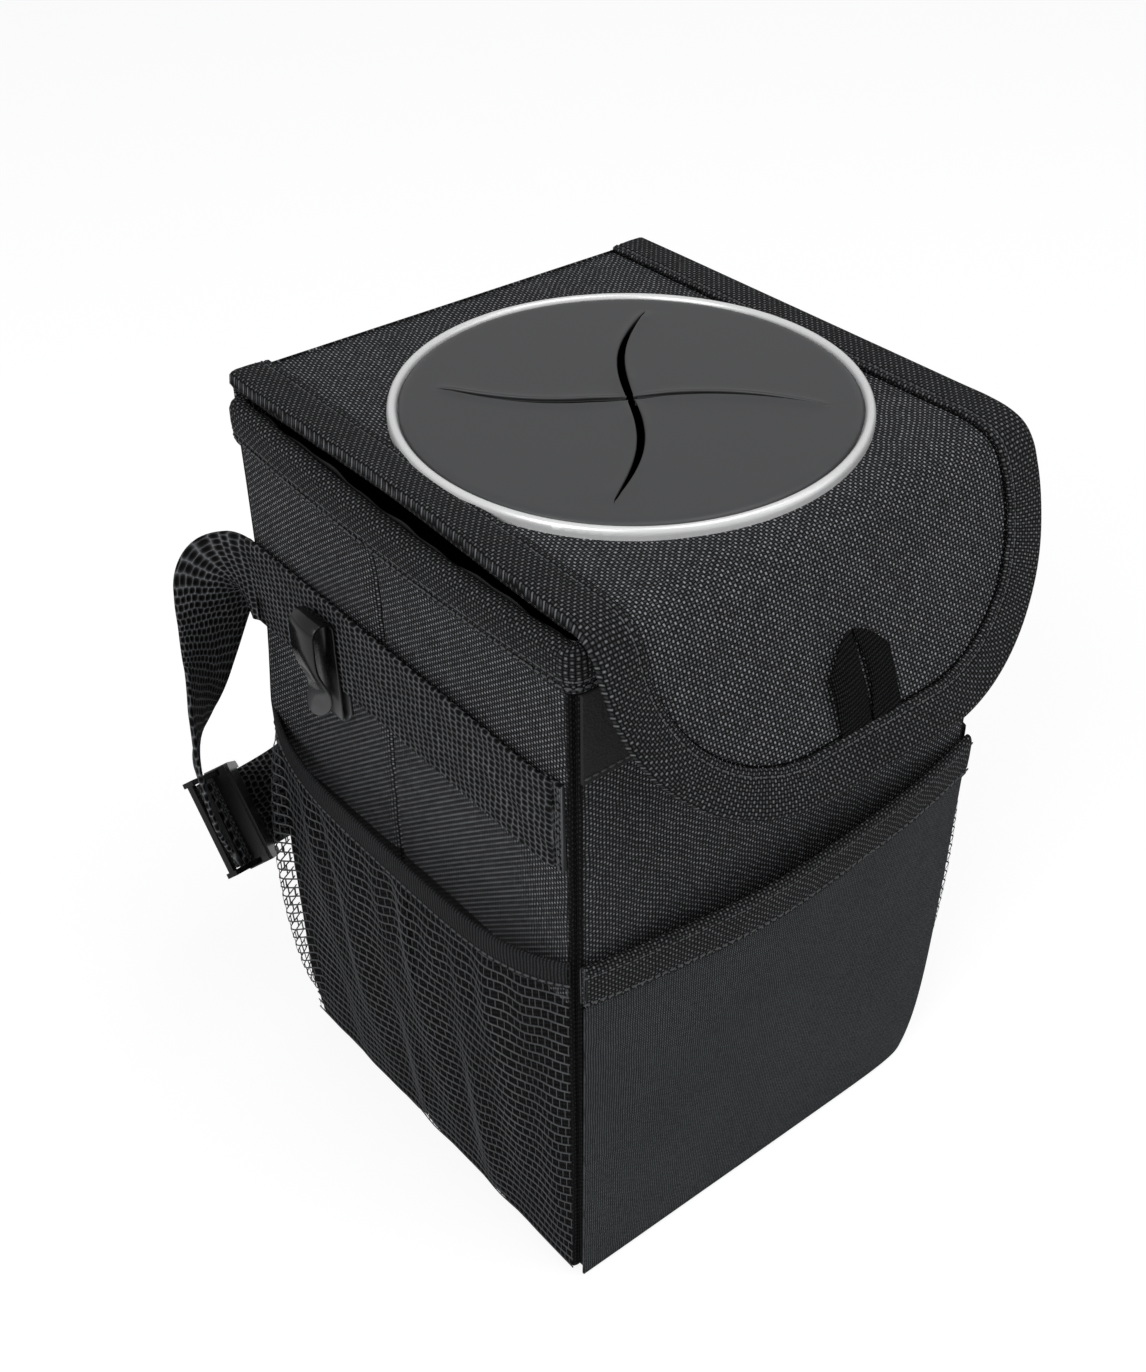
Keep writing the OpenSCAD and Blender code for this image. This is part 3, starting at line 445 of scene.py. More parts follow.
binding_tape = fabric("binding_tape", (0.0015, 0.0015, 0.0017), (0.21, 0.216, 0.227), (0.0012, 0.0011),
                      0.0004, under=0.6)
rim_section = tape_section(13, -5.0, 1.5, 1.2)
rim_points, rim_normals = ring(rim_z, 0, rim_corner)
rim_sag = rim_points[:, 2] - rim_z
rim_rows = []
for a, b in rim_section:
    level, _ = ring(rim_z + min(a, 0), 0, rim_corner)
    rim_rows.append(np.column_stack([level[:, :2] + rim_normals * b, rim_z + a + rim_sag]))
rim_uv = tape_uv(lengths(np.vstack([rim_points, rim_points[:1]])), rim_section)
rim_rows = np.array(rim_rows).transpose(1, 0, 2)
rim_tape = skin("rim_tape", rim_rows, rim_uv, binding_tape, wrap=True, loop=True)
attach(rim_tape, "bin")
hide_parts("rim_binding")

# Lid and flap cloth. One woven piece covers the lid, runs over a soft fold at the front and hangs
# down as the flap, leaning out from the bin. It is measured by x and by s, the way from the back.
def between(before, start, end, after, share):
    """The point at a share of the way from start to end, on a smooth curve through four points."""
    straight, bent = end - before, 2 * before - 5 * start + 4 * end - after
    twisted = 3 * start - before - 3 * end + after
    return 0.5 * (2 * start + straight * share + bent * share ** 2 + twisted * share ** 3)


def spline(points, count):
    """A smooth curve through points, as count points evenly spaced along it."""
    points = np.array(points, float)
    last = len(points) - 1
    t = np.linspace(0, last, 40 * last + 1)
    i = np.minimum(t.astype(int), last - 1)
    before, after = points[np.maximum(i - 1, 0)], points[np.minimum(i + 2, last)]
    fine = between(before, points[i], points[i + 1], after, (t - i)[:, None])
    far = lengths(fine)
    even = np.linspace(0, far[-1], count)
    return np.column_stack([np.interp(even, far, fine[:, k]) for k in range(points.shape[1])])


lid_line = spline([(83.7, 275.2), (60, 275.3), (20, 275.3), (-30, 275.3), (-60, 275.3), (-70, 275.4),
                   (-78, 275.1), (-84.3, 273.2), (-88.4, 268.8), (-91.2, 262.2), (-95.8, 250.5),
                   (-101.6, 237.4), (-107.4, 224.4), (-111.6, 215), (-114.7, 208.1)], 500)
lid_s = lengths(lid_line) / MM
lid_tangent = np.gradient(lid_line, lid_s, axis=0)
sheet_end = lid_s[-1]
flap_s = sheet_end - 67.5
lid_half, flap_corner, port_cut_r = 82, 60, 65.5
round_s = sheet_end - flap_corner


def on_lid(x, s, off):
    """The point of the lid and flap at x and s, lifted off the cloth's face by off."""
    x, s, off = np.broadcast_arrays(np.asarray(x, float), s, off)
    inside = np.clip(s, 0, sheet_end)
    y, z = (np.interp(inside, lid_s, lid_line[:, k]) for k in (0, 1))
    ty, tz = (np.interp(inside, lid_s, lid_tangent[:, k]) for k in (0, 1))
    raised = 2.2 * np.clip((np.abs(x) - 64) / 18, 0, 1) ** 2 * (x < 0) * np.exp(-((s - 84) / 48) ** 2)
    curl = 1.6 * np.clip((s - sheet_end + 26) / 26, 0, 1) ** 2
    off = off + raised + curl
    along_y = y + ty * (s - inside) + tz * off
    return np.stack([x, along_y, z + tz * (s - inside) - ty * off + droop(x, along_y)], -1)


def flap_half(s):
    """Half width of the cloth at s: straight, and then round to the flap's lower edge."""
    down = np.clip(s - round_s, 0, flap_corner)
    return lid_half - flap_corner + np.sqrt(np.maximum(flap_corner ** 2 - down ** 2, 0))


def past_fold(s):
    """How far s is over the fold, from 0 on the lid to 1 on the flap."""
    return np.clip((s - flap_s + 16) / 14, 0, 1)


def cut_port(piece):
    """Takes out the faces over the port, so that its slits look into the bin."""
    work = bmesh.new()
    work.from_mesh(piece.data)
    gone = []
    for face in work.faces:
        middle = face.calc_center_median()
        if middle.z > 0.26 and math.hypot(middle.x, middle.y - port_y * MM) < port_cut_r * MM:
            gone.append(face)
    bmesh.ops.delete(work, geom=gone, context="FACES")
    work.to_mesh(piece.data)
    work.free()


s_rows = np.concatenate([np.linspace(0, flap_s - 14, 58), np.linspace(flap_s - 12, flap_s + 6, 14),
                         sheet_end - flap_corner * np.cos(np.linspace(0, math.pi / 2, 44))])
s_rows = np.unique(np.clip(s_rows, 0, sheet_end - 0.02))
grid_share, grid_s = np.meshgrid(np.linspace(-1, 1, 73), s_rows)
grid_x = grid_share * (flap_half(grid_s) - 0.6)
lid_uv = np.stack([grid_x, grid_s], -1) * MM
lid_cloth = skin("lid_and_flap_cloth", on_lid(grid_x, grid_s, 0), lid_uv, shell_cloth, flip=True)
cut_port(lid_cloth)
thicken(lid_cloth, "cloth", cloth_thick)
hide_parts("lid_cover", "flap_cover")
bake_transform(lid_cloth)

# Lining of the lid and flap. The same coated cloth as the liner, sewn into the tape behind the
# lid's board and behind the flap.
lining_points = on_lid(grid_x, grid_s, -3.3 + 1.5 * past_fold(grid_s))
lid_lining = skin("lid_and_flap_lining", lining_points, lid_uv, coated)
cut_port(lid_lining)
thicken(lid_lining, "cloth", liner_thick)
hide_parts("lid_lining", "flap_lining")
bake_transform(lid_lining)

# Tape of the lid and flap. One tape binds the left side of the lid, goes round the flap's curved
# edge and back along the right side. The lid's back edge has none.
straight, level_count = 110, 14
turn = np.linspace(0, math.pi / 2, 40)[1:]
flank = np.concatenate([np.linspace(-0.4, round_s, straight), round_s + flap_corner * np.sin(turn)])
half_edge = np.concatenate([np.full(straight, lid_half), lid_half - flap_corner + flap_corner * np.cos(turn)])
lean_x = np.concatenate([np.ones(straight), np.cos(turn)])
lean_s = np.concatenate([np.zeros(straight), np.sin(turn)])
lower_x = np.linspace(flap_corner - lid_half, lid_half - flap_corner, level_count + 2)[1:-1]
edge_x = np.concatenate([-half_edge, lower_x, half_edge[::-1]])
edge_s = np.concatenate([flank, np.full(level_count, sheet_end), flank[::-1]])
out_x = np.concatenate([-lean_x, np.zeros(level_count), lean_x[::-1]])
out_s = np.concatenate([lean_s, np.ones(level_count), lean_s[::-1]])
tape_low = -5.0 + 2.2 * past_fold(edge_s)
lid_section = tape_section(13.5, -1, 1, 1.1)
columns = []
for a, b in lid_section:
    off = np.where(b > 0, b * 1.9, -b * tape_low)
    columns.append(on_lid(edge_x + a * out_x, edge_s + a * out_s, off if b else tape_low / 2 + 0.5))
tape_rows = np.array(columns).transpose(1, 0, 2)
lid_tape_uv = tape_uv(lengths(on_lid(edge_x, edge_s, 0)), lid_section)
lid_tape = skin("lid_and_flap_tape", tape_rows, lid_tape_uv, binding_tape, wrap=True, caps=True)
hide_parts("left_lid_binding", "right_lid_binding", "flap_binding")
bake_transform(lid_tape)

# Hinge strip. The lid's cloth runs down behind the rim in a strip that is sewn to the back wall;
# on the bin it folds when the lid opens, and here it is built with the lid shut.
hinge_line = spline([(83.6, 275.2), (84.7, 273.6), (85.2, 270), (84.9, 264), (84.1, 258.5), (83.9, 256)], 26)
hinge_rows, hinge_x = np.meshgrid(np.arange(26), np.linspace(-81, 81, 30), indexing="ij")
hinge_points = np.stack([hinge_x, hinge_line[hinge_rows, 0], hinge_line[hinge_rows, 1]], -1)
hinge_points[:, :, 2] += droop(hinge_x, 84) * np.clip((hinge_points[:, :, 2] - 190) / 78, 0, 1)
hinge_uv = np.stack([hinge_x * MM, 0.16 + hinge_rows * 0.0008], -1)
hinge_strip = skin("hinge_strip", hinge_points, hinge_uv, shell_cloth, flip=True)
thicken(hinge_strip, "cloth", 0.8)
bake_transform(hinge_strip)

# Port. A bright satin ring is pressed through the lid onto a plastic retainer. Its rubber disc is
# cut into four petals, whose edges are rounded and stand up a little along the slits.
satin = plain("satin_metal", (0.95, 0.955, 0.96), 0.3, grain=2500, relief=0.000004, metallic=0.25,
              spread=0.02)
hidden_plastic = plain("retainer_plastic", (0.02, 0.02, 0.021), 0.5)
ring_r, slim_from, slim_share = 71.8, 66, 0.72
for name, material, part in (
        ("port_ring", satin, "bright_ring"),
        ("port_retainer", hidden_plastic, "retainer_plastic")):
    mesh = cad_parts[name].data.copy()
    for vertex in mesh.vertices:
        from_port = math.hypot(vertex.co.x, vertex.co.y - port_y * MM) / MM
        if name == "port_ring" and from_port > slim_from:
            slim = (ring_r - (ring_r - from_port) * slim_share) / from_port
            vertex.co.x = vertex.co.x * slim
            vertex.co.y = (vertex.co.y - port_y * MM) * slim + port_y * MM
        vertex.co.z += float(droop(vertex.co.x / MM, vertex.co.y / MM)) * MM
    mesh.materials.clear()
    mesh.materials.append(material)
    seated = placed_in_scene("seated_" + name, mesh)
    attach(seated, "lid")
    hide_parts(name)

disc_r, disc_top, slit_reach, slit_bend, slit_w = 68.6, 278.5, 57, 5, 2.4
radii = np.concatenate([np.linspace(1.5, 10, 12), np.linspace(11, 55, 48), np.linspace(55.5, 59, 10),
                        np.linspace(60, 67.1, 6), [disc_r]])


def slit_angle(r):
    """The angle that a slit's bent middle line has at a radius."""
    t = np.clip(r / slit_reach, 0, 1)
    return np.arctan2(slit_bend * np.sin(math.pi * t), slit_reach * t)


def slit_gap(r):
    """Half the angle that a slit is open by at a radius."""
    t = np.clip(r / slit_reach, 0, 1)
    open_here = np.maximum(slit_w / 2 * (1 - t ** 3), 0.2) * np.clip((slit_reach + 0.5 - r) / 1.5, 0, 1)
    return np.arcsin(np.minimum(open_here / r, 0.6))


from_edge = np.array([0, 0.25, 0.6, 1.1, 1.8, 2.8, 4.2, 6])
work = bmesh.new()
for petal in range(4):
    rows = []
    for r in radii:
        start = math.radians(45 + 90 * petal) + slit_angle(r) + slit_gap(r)
        end = math.radians(135 + 90 * petal) + slit_angle(r) - slit_gap(r)
        reach = (end - start) * r / 2
        near = np.minimum(from_edge * min(1, reach / 9), reach)
        middle = np.linspace(near[-1], 2 * reach - near[-1], 14)[1:-1]
        spread = np.concatenate([near, middle, 2 * reach - near[::-1]])
        edge = np.minimum(spread, 2 * reach - spread)
        fade = min(max((slit_reach + 2 - r) / 6, 0), 1) * min(r / 12, 1)
        lip = (0.75 * np.exp(-(edge / 1.9) ** 2) - 0.85 * np.exp(-edge / 0.22)) * fade
        lip += 0.25 * fade * np.exp(-((2 * reach - spread) / 5) ** 2)
        rounded = -0.35 * max(0, (r - 66.9) / 0.5)
        angle = start + spread / r
        across, deep = r * np.cos(angle), r * np.sin(angle) + port_y
        rows.append(np.stack([across, deep, disc_top + lip + rounded + droop(across, deep)], -1))
    grid = [[work.verts.new([c * MM for c in point]) for point in row.tolist()] for row in rows]
    for low, high in zip(grid, grid[1:]):
        for k in range(len(low) - 1):
            work.faces.new((low[k], high[k], high[k + 1], low[k + 1]))
bmesh.ops.remove_doubles(work, verts=work.verts, dist=0.00003)
for face in work.faces:
    face.smooth = True
disc = placed_in_scene("slitted_disc", bpy.data.meshes.new("slitted_disc"))
work.to_mesh(disc.data)
work.free()
thicken(disc, "rubber", 1.8)
rubber = plain("port_rubber", (0.066, 0.0675, 0.07), 0.44, grain=1500, relief=0.00001, spread=0.06,
               specular=0.4)
disc.data.materials.append(rubber)
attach(disc, "lid")
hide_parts("port_disc")

# Closure. A fuzzy loop strip is sewn across the front under the rim, and a hook strip across the
# inside of the flap.
loop_pile = plain("loop_pile", (0.016, 0.0163, 0.0175), 0.95, grain=1100, relief=0.0008, spread=0.5)
for name in ("loop_strip", "hook_strip"):
    coat_node(name, loop_pile)

# Front pocket. A finer cloth than the walls, sewn in at the corners and the bottom and full in
# the middle, with a wide tape over its mouth.
def pocket_top(u):
    """Height of the pocket's mouth, which dips in the middle."""
    return 153 - 4 * (1 - u * u)


def pocket_off(u, z):
    """How far the pocket stands off the front, with soft waves in the cloth."""
    swell = 0.2 + (1.2 + 6.5 * (1 - u * u)) * np.sin(np.pi / 2 * np.minimum(z / 153, 1))
    loose = np.clip(z / 60, 0, 1) * (1 - u ** 4)
    return swell + 0.35 * loose * np.sin(7 * u + 1 + z * 0.012) + 0.25 * loose * np.sin(3.1 * u - z * 0.03)


def on_front(u, z, off):
    """The point of the front at u and z, standing off by a distance; its foot is tucked in at the right."""
    half_w, half_d = half_sizes(z)
    tuck = 5 * np.exp(-np.maximum(z, 0) / 18) * np.clip(u, 0, 1) ** 8
    return np.stack([u * (half_w - 1.3) - tuck, -half_d - off * (1 - tuck / 10) + tuck * 0.4, z], -1)


def pocket_tape_place(u, z, off):
    """The point of the pocket at u and z, lifted off its cloth; over the mouth the cloth goes straight on."""
    return on_front(u, z, pocket_off(u, np.minimum(z, pocket_top(u))) + off)


def taped_mouth(name, u, top, place, section, cloth):
    """A tape folded over a pocket's mouth; place gives the point at u and z that stands off by a distance."""
    rows = np.array([place(u, top + a, b) for a, b in section]).transpose(1, 0, 2)
    along = lengths(rows[:, len(section) // 2])
    tape = skin(name, rows, tape_uv(along, section), cloth, wrap=True, caps=True)
    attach(tape, "bin")
    return tape


pocket_cloth = fabric("pocket_cloth", (0.005, 0.0056, 0.0062), (0.146, 0.16, 0.172), (0.0009, 0.0008),
                      0.00015, uneven=0.5)
pocket_foot = 1.6
pocket_u, pocket_v = np.meshgrid(np.linspace(-1, 1, 61), np.linspace(0, 1, 61))
pocket_z = pocket_foot + pocket_v * (pocket_top(pocket_u) - pocket_foot)
pocket_points = on_front(pocket_u, pocket_z, pocket_off(pocket_u, pocket_z) + 1.0)
pocket_uv = np.stack([pocket_u * 0.084, pocket_z * MM], -1)
pocket = skin("front_pocket_cloth", pocket_points, pocket_uv, pocket_cloth)
thicken(pocket, "cloth", 0.8)
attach(pocket, "bin")
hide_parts("front_pocket")
mouth_u = np.linspace(-1.002, 1.002, 90)
pocket_tape = taped_mouth("front_pocket_tape", mouth_u, pocket_top(mouth_u), pocket_tape_place,
                          tape_section(15.5, -0.95, 2.3, 1.0), binding_tape)
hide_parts("front_pocket_binding")

# Mesh pockets. A warp-knitted net with thick cross threads and thin staggered strands between
# them. Elastic gathers its mouth, so that folds run down from it and the net stands full.
def mesh_top(u):
    """Height of the net's mouth, which the elastic draws down in the middle."""
    return 154 - 5 * (1 - u ** 4)


def mesh_swell(u, z):
    """How far the pocket's mouth and net stand off the side wall, without the folds."""
    return 0.8 + (0.4 + 9.8 * (1 - u ** 4)) * np.sin(np.pi / 2 * np.clip((z - 4) / 150, 0, 1) ** 0.9)


def arch(share, power=1.0):
    """Rises from 0 to 1 and falls to 0 again while the share goes from 0 to 1."""
    return np.maximum(np.sin(np.pi * np.clip(share, 0, 1)), 0) ** power


def mesh_off(u, z, side):
    """The swell, and the folds that run down from under the elastic."""
    below = np.clip((mesh_top(u) - 9 - z) / 140, 0, 1)
    tight = 0.8 * np.sin(np.pi * 11 * u + side) * arch(below / 0.3)
    wide, narrow = np.pi * 4.3 * u + 2.2 * below + 0.7 * side, np.pi * 7.7 * u - 3 * below + side
    fall = 1.6 * (np.sin(wide) + 0.5 * np.sin(narrow)) * arch(below, 0.7)
    full = 9 * np.exp(-((u + 0.94) / 0.05) ** 2) * arch(below / 0.9, 0.5)
    return mesh_swell(u, z) + full + (1 - u ** 4) * (tight + fall)


def on_side(u, z, off, side):
    """The point of a side wall at u and z, standing off by a distance; the right foot is tucked in."""
    half_w, half_d = half_sizes(z)
    foot = 6 * np.exp(-np.maximum(z, 0) / 18) * np.clip(-u, 0, 1) ** 8 if side > 0 else 0
    return np.stack([side * (half_w + off) - foot, side * u * (half_d - 2) + foot * 0.7, z], -1)


def node_group(name, settings):
    """A Geometry Nodes tree with named inputs, what its input node gives, and the inputs' identifiers."""
    tree = bpy.data.node_groups.new(name, "GeometryNodeTree")
    tree.interface.new_socket(name="Geometry", in_out="INPUT", socket_type="NodeSocketGeometry")
    identifiers = {}
    for label, kind, value in settings:
        made = tree.interface.new_socket(name=label, in_out="INPUT", socket_type="NodeSocket" + kind)
        made.default_value = value
        identifiers[label] = made.identifier
    tree.interface.new_socket(name="Geometry", in_out="OUTPUT", socket_type="NodeSocketGeometry")
    return tree, tree.nodes.new("NodeGroupInput").outputs, identifiers


def cord(tree, start, end, count, radius, sides, scale=1.0, caps=False):
    """A straight cord between two places, with its thickness scaled along it."""
    line = node(tree, "GeometryNodeCurvePrimitiveLine", Start=start, End=end)
    fine = node(tree, "GeometryNodeResampleCurve", Curve=line.outputs[0], Count=count)
    round_line = node(tree, "GeometryNodeCurvePrimitiveCircle", Resolution=sides, Radius=radius)
    swept = node(tree, "GeometryNodeCurveToMesh", Curve=fine.outputs[0], Profile_Curve=round_line.outputs[0],
                 Scale=scale, Fill_Caps=caps)
    return swept.outputs[0]


def close_group(tree, shape, material):
    """Ends a tree in Realize Instances and Set Material."""
    real = node(tree, "GeometryNodeRealizeInstances", Geometry=shape)
    coat = node(tree, "GeometryNodeSetMaterial", Geometry=real.outputs[0], Material=material)
    node(tree, "NodeGroupOutput", Geometry=coat.outputs[0])


def grown(name, mesh, tree, identifiers, settings):
    """What a tree with these settings makes of a mesh, as a piece with a plain mesh."""
    carrier = placed_in_scene(name, mesh)
    added = carrier.modifiers.new(tree.name, "NODES")
    added.node_group = tree
    for label, kind, value in settings:
        added[identifiers[label]] = value
    depsgraph = bpy.context.evaluated_depsgraph_get()
    plain_mesh = bpy.data.meshes.new_from_object(carrier.evaluated_get(depsgraph))
    bpy.data.objects.remove(carrier)
    return placed_in_scene(name, plain_mesh)


def make_net(name, settings):
    """A flat net: rows of cross threads, with staggered strands between them."""
    tree, given, identifiers = node_group("net", settings)
    half = calc(tree, "MULTIPLY", given["Width"], 0.5)
    pitch = calc(tree, "DIVIDE", given["Width"], given["Columns"])
    gaps = calc(tree, "SUBTRACT", given["Rows"], 1.0)
    step = calc(tree, "DIVIDE", given["Height"], gaps)
    left_end, right_end = vector(tree, X=calc(tree, "MULTIPLY", half, -1.0)), vector(tree, X=half)
    fine_count = calc(tree, "MULTIPLY", given["Columns"], 2.0)
    thread_mesh = cord(tree, left_end, right_end, fine_count, given["Thread radius"], 5)
    levels = node(tree, "GeometryNodeMeshLine", Count=given["Rows"], Offset=vector(tree, Y=step))
    threads = node(tree, "GeometryNodeInstanceOnPoints", Points=levels.outputs[0], Instance=thread_mesh)
    knots = node(tree, "GeometryNodeMeshGrid", Vertices_X=given["Columns"], Vertices_Y=gaps,
                 Size_X=calc(tree, "SUBTRACT", given["Width"], pitch),
                 Size_Y=calc(tree, "SUBTRACT", given["Height"], step))
    index = tree.nodes.new("GeometryNodeInputIndex")
    odd = calc(tree, "FLOORED_MODULO", calc(tree, "FLOORED_MODULO", index.outputs[0], gaps), 2.0)
    chance = tree.nodes.new("FunctionNodeRandomValue")
    chance.inputs[2].default_value = -0.14
    chance.inputs[3].default_value = 0.14
    stagger = calc(tree, "ADD", calc(tree, "MULTIPLY_ADD", odd, 0.5, -0.25), chance.outputs[1])
    shift, middle = calc(tree, "MULTIPLY", stagger, pitch), calc(tree, "MULTIPLY", given["Height"], 0.5)
    moved = node(tree, "GeometryNodeSetPosition", Geometry=knots.outputs["Mesh"],
                 Offset=vector(tree, X=shift, Y=middle))
    low_end, high_end = (vector(tree, Y=calc(tree, "MULTIPLY", step, share)) for share in (-0.5, 0.5))
    strand_mesh = cord(tree, low_end, high_end, 4, given["Strand radius"], 4)
    strands = node(tree, "GeometryNodeInstanceOnPoints", Points=moved.outputs[0], Instance=strand_mesh)
    both = node(tree, "GeometryNodeJoinGeometry", Geometry=threads.outputs[0])
    feed(tree, both.inputs[0], strands.outputs[0])
    close_group(tree, both.outputs[0], given["Material"])
    return grown(name, bpy.data.meshes.new(name), tree, identifiers, settings)


net_yarn = plain("net_yarn", (0.062, 0.065, 0.07), 0.45, grain=1200, relief=0.00006, spread=0.4, specular=0.6)
elastic_cloth = fabric("elastic", (0.002, 0.002, 0.0024), (0.07, 0.072, 0.077), (0.0012, 0.0006), 0.0002,
                       uneven=0.3)
net_w, net_h = 0.165, 0.15
net_settings = (("Width", "Float", net_w), ("Height", "Float", net_h), ("Columns", "Int", 62),
                ("Rows", "Int", 35), ("Thread radius", "Float", 0.0004), ("Strand radius", "Float", 0.00017),
                ("Material", "Material", net_yarn))
elastic_u = np.linspace(-1.002, 1.002, 120)
for side, word in ((-1, "left"), (1, "right")):
    net = make_net(word + "_net", net_settings)
    flat = np.empty(len(net.data.vertices) * 3, np.float32)
    net.data.vertices.foreach_get("co", flat)
    flat = flat.reshape(-1, 3)
    u = np.clip(flat[:, 0] / (net_w / 2), -1, 1)
    v = np.clip(flat[:, 1] / net_h, 0, 1)
    waves = 1.2 * np.sin(13 * u + 3 * v + side) + 0.7 * np.sin(27 * u - 5 * v)
    ripple = waves * arch(v, 0.6)
    z = 4 + v * (mesh_top(u) - 6) + ripple + (flat[:, 1] / net_h - v) * 150
    placed = on_side(u, z, mesh_off(u, z, side) + flat[:, 2] * 600, side)
    net.data.vertices.foreach_set("co", (placed * MM).astype(np.float32).ravel())
    net.data.polygons.foreach_set("use_smooth", [True] * len(net.data.polygons))
    net.data.update()
    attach(net, "bin")
    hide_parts(word + "_mesh_pocket")

    def elastic_place(u, z, off, side=side):
        """The point of the pocket's mouth at u and z, lifted off the net."""
        return on_side(u, z, mesh_swell(u, np.minimum(z, mesh_top(u))) + off, side)

    elastic = taped_mouth(word + "_elastic", elastic_u, mesh_top(elastic_u), elastic_place,
                          tape_section(10.5, -0.9, 0.8, 0.5), elastic_cloth)
    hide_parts(word + "_mesh_binding")

# Webbing. One coarse strap each side: its front end is turned under and sewn to the side wall, it
# runs flat to the back corner and then hangs free to the buckle, where it is sewn round a bar.
def unit(direction):
    """A direction with length 1."""
    return np.array(direction, float) / np.linalg.norm(direction)


def station(stations, t):
    """Place and direction across, as six numbers, at t along a list of such stations."""
    last = len(stations) - 1
    i = min(int(t), last - 1)
    return between(stations[max(i - 1, 0)], stations[i], stations[i + 1], stations[min(i + 2, last)], t - i)


def bar_loop(bar, away, across):
    """Stations of the sewn loop round a bar that runs along across; the strap leaves it along away."""
    normal = np.cross(across, away)
    there = [(bar + away * far + normal, across) for far in (13, 9, 5.85)]
    turns = np.radians(np.linspace(90, -90, 13))
    round_bar = [(bar + 2.7 * (math.sin(turn) * normal - math.cos(turn) * away), across) for turn in turns]
    return there + round_bar + [(bar + away * far - normal, across) for far in (5.85, 9)]


strap_z, strap_half, strap_thick = 206, 16, 1.6
webbing = fabric("webbing", (0.0015, 0.0015, 0.0017), (0.24, 0.247, 0.26), (0.0022, 0.0025), 0.0009,
                 uneven=0.5, holes=True)
buckle_at = np.array([-96.3, 93.4, 98.5])
buckle_along = unit((0.434, 0.642, -0.632))
buckle_across = unit(np.cross(np.cross(buckle_along, (-0.01, -0.698, -0.716)), buckle_along))
buckle_up = np.cross(buckle_along, buckle_across)
tipped = math.radians(25)
plug_bar = buckle_at + buckle_along * (-5 - 10 * math.cos(tipped)) + buckle_up * (10 * math.sin(tipped))
socket_bar = buckle_at + buckle_along * 29.2
band_y = ((-77.5, 0.2), (-69.5, 0.2), (-62.5, 1.7), (69, 1.7), (77, 1.7))
left_route = [((-88.2, 83, 205.3), (0, 0, 1)), ((-89.6, 90, 202), (-0.35, 0.1, 0.92)),
              ((-91.4, 94, 194), (-0.76, 0.02, 0.63)), ((-94.8, 94, 183), (-0.88, -0.2, 0.43)),
              ((-100.5, 90.5, 171), (-0.8, -0.42, 0.43)), ((-108.5, 84.5, 159), (-0.62, -0.64, 0.45)),
              ((-114.5, 80, 146), (-0.46, -0.86, 0.22)), ((-115.5, 77.5, 131), (-0.3, -0.93, -0.2))]
right_route = [((83, 90, 205), (0.05, 0, 1)), ((75, 99, 197), (0.2, 0, 0.98)),
               ((61, 106, 181), (0.42, 0.05, 0.9)), ((41, 111, 156), (0.58, 0.12, 0.8)),
               ((16, 115, 127), (0.56, 0.25, 0.78)), ((-12, 118, 101), (0.42, 0.42, 0.8)),
               ((-37, 119, 84), (0.2, 0.6, 0.77)), ((-57, 119, 76), (0.05, 0.69, 0.72))]


def webbing_strap(name, side, route, loop, count):
    """The strap as a ribbon with rounded edges along its band, its free run and its loop."""
    half_w, lean, half_thick = half_sizes(strap_z)[0], math.atan(flare / tall), strap_thick / 2
    across = (side * math.sin(lean), 0, math.cos(lean))
    knots = [np.array([side * (half_w + off + half_thick), y, strap_z, *across]) for y, off in band_y]
    band = [station(knots[:4], t) for t in np.linspace(0, 2, 17)]
    band += [knots[2] + (knots[3] - knots[2]) * share for share in np.linspace(0, 1, 40)[1:]]
    stations = [knots[4]] + [np.concatenate(stop) for stop in route + [loop[0]]]
    run = [station(stations, t) for t in np.linspace(0, len(stations) - 1, count)]
    rows = np.array(band + run + [np.concatenate(stop) for stop in loop[1:]])
    places, widths = rows[:, :3], rows[:, 3:]
    ahead = np.gradient(places, axis=0)
    ahead /= np.linalg.norm(ahead, axis=1)[:, None]
    widths = widths - ahead * np.sum(widths * ahead, 1)[:, None]
    widths /= np.linalg.norm(widths, axis=1)[:, None]
    face = np.cross(ahead, widths)
    upper = [(w, half_thick) for w in np.linspace(0.8 - strap_half, strap_half - 0.8, 9)]
    upper += [(strap_half - 0.2, 0.5), (strap_half, 0)]
    section = upper + [(strap_half - 0.2, -0.5)] + [(w, -b) for w, b in upper[8::-1]]
    section += [(0.2 - strap_half, -0.5), (-strap_half, 0), (0.2 - strap_half, 0.5)]
    points = np.array([places + widths * a + face * b for a, b in section]).transpose(1, 0, 2)
    round_u = lengths(np.array(section + section[:1]))
    uv = np.stack(np.meshgrid(round_u, lengths(places)), -1)
    return skin(name, points, uv, webbing, wrap=True, caps=True)


plug_loop = bar_loop(plug_bar, -unit(buckle_along + 0.12 * buckle_up), buckle_across)
left_strap = webbing_strap("left_webbing", -1, left_route, plug_loop, 90)
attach(left_strap, "bin")
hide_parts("left_strap")
socket_loop = bar_loop(socket_bar, buckle_along, -buckle_across)
right_strap = webbing_strap("right_webbing", 1, right_route, socket_loop, 110)
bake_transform(right_strap)
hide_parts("right_strap")

# Buckle. A side-release buckle in glossy black plastic: barbed plug, flat socket, and a bar in
# each for the webbing.
glossy = plain("buckle_plastic", (0.006, 0.006, 0.0065), 0.22, grain=700, relief=0.00001)
for name in ("buckle_plug", "buckle_socket"):
    soft = coat_node(name, glossy).modifiers.new("edges", "BEVEL")
    soft.width = 0.45 * MM
    soft.segments = 2
    soft.limit_method = "ANGLE"
    soft.harden_normals = True
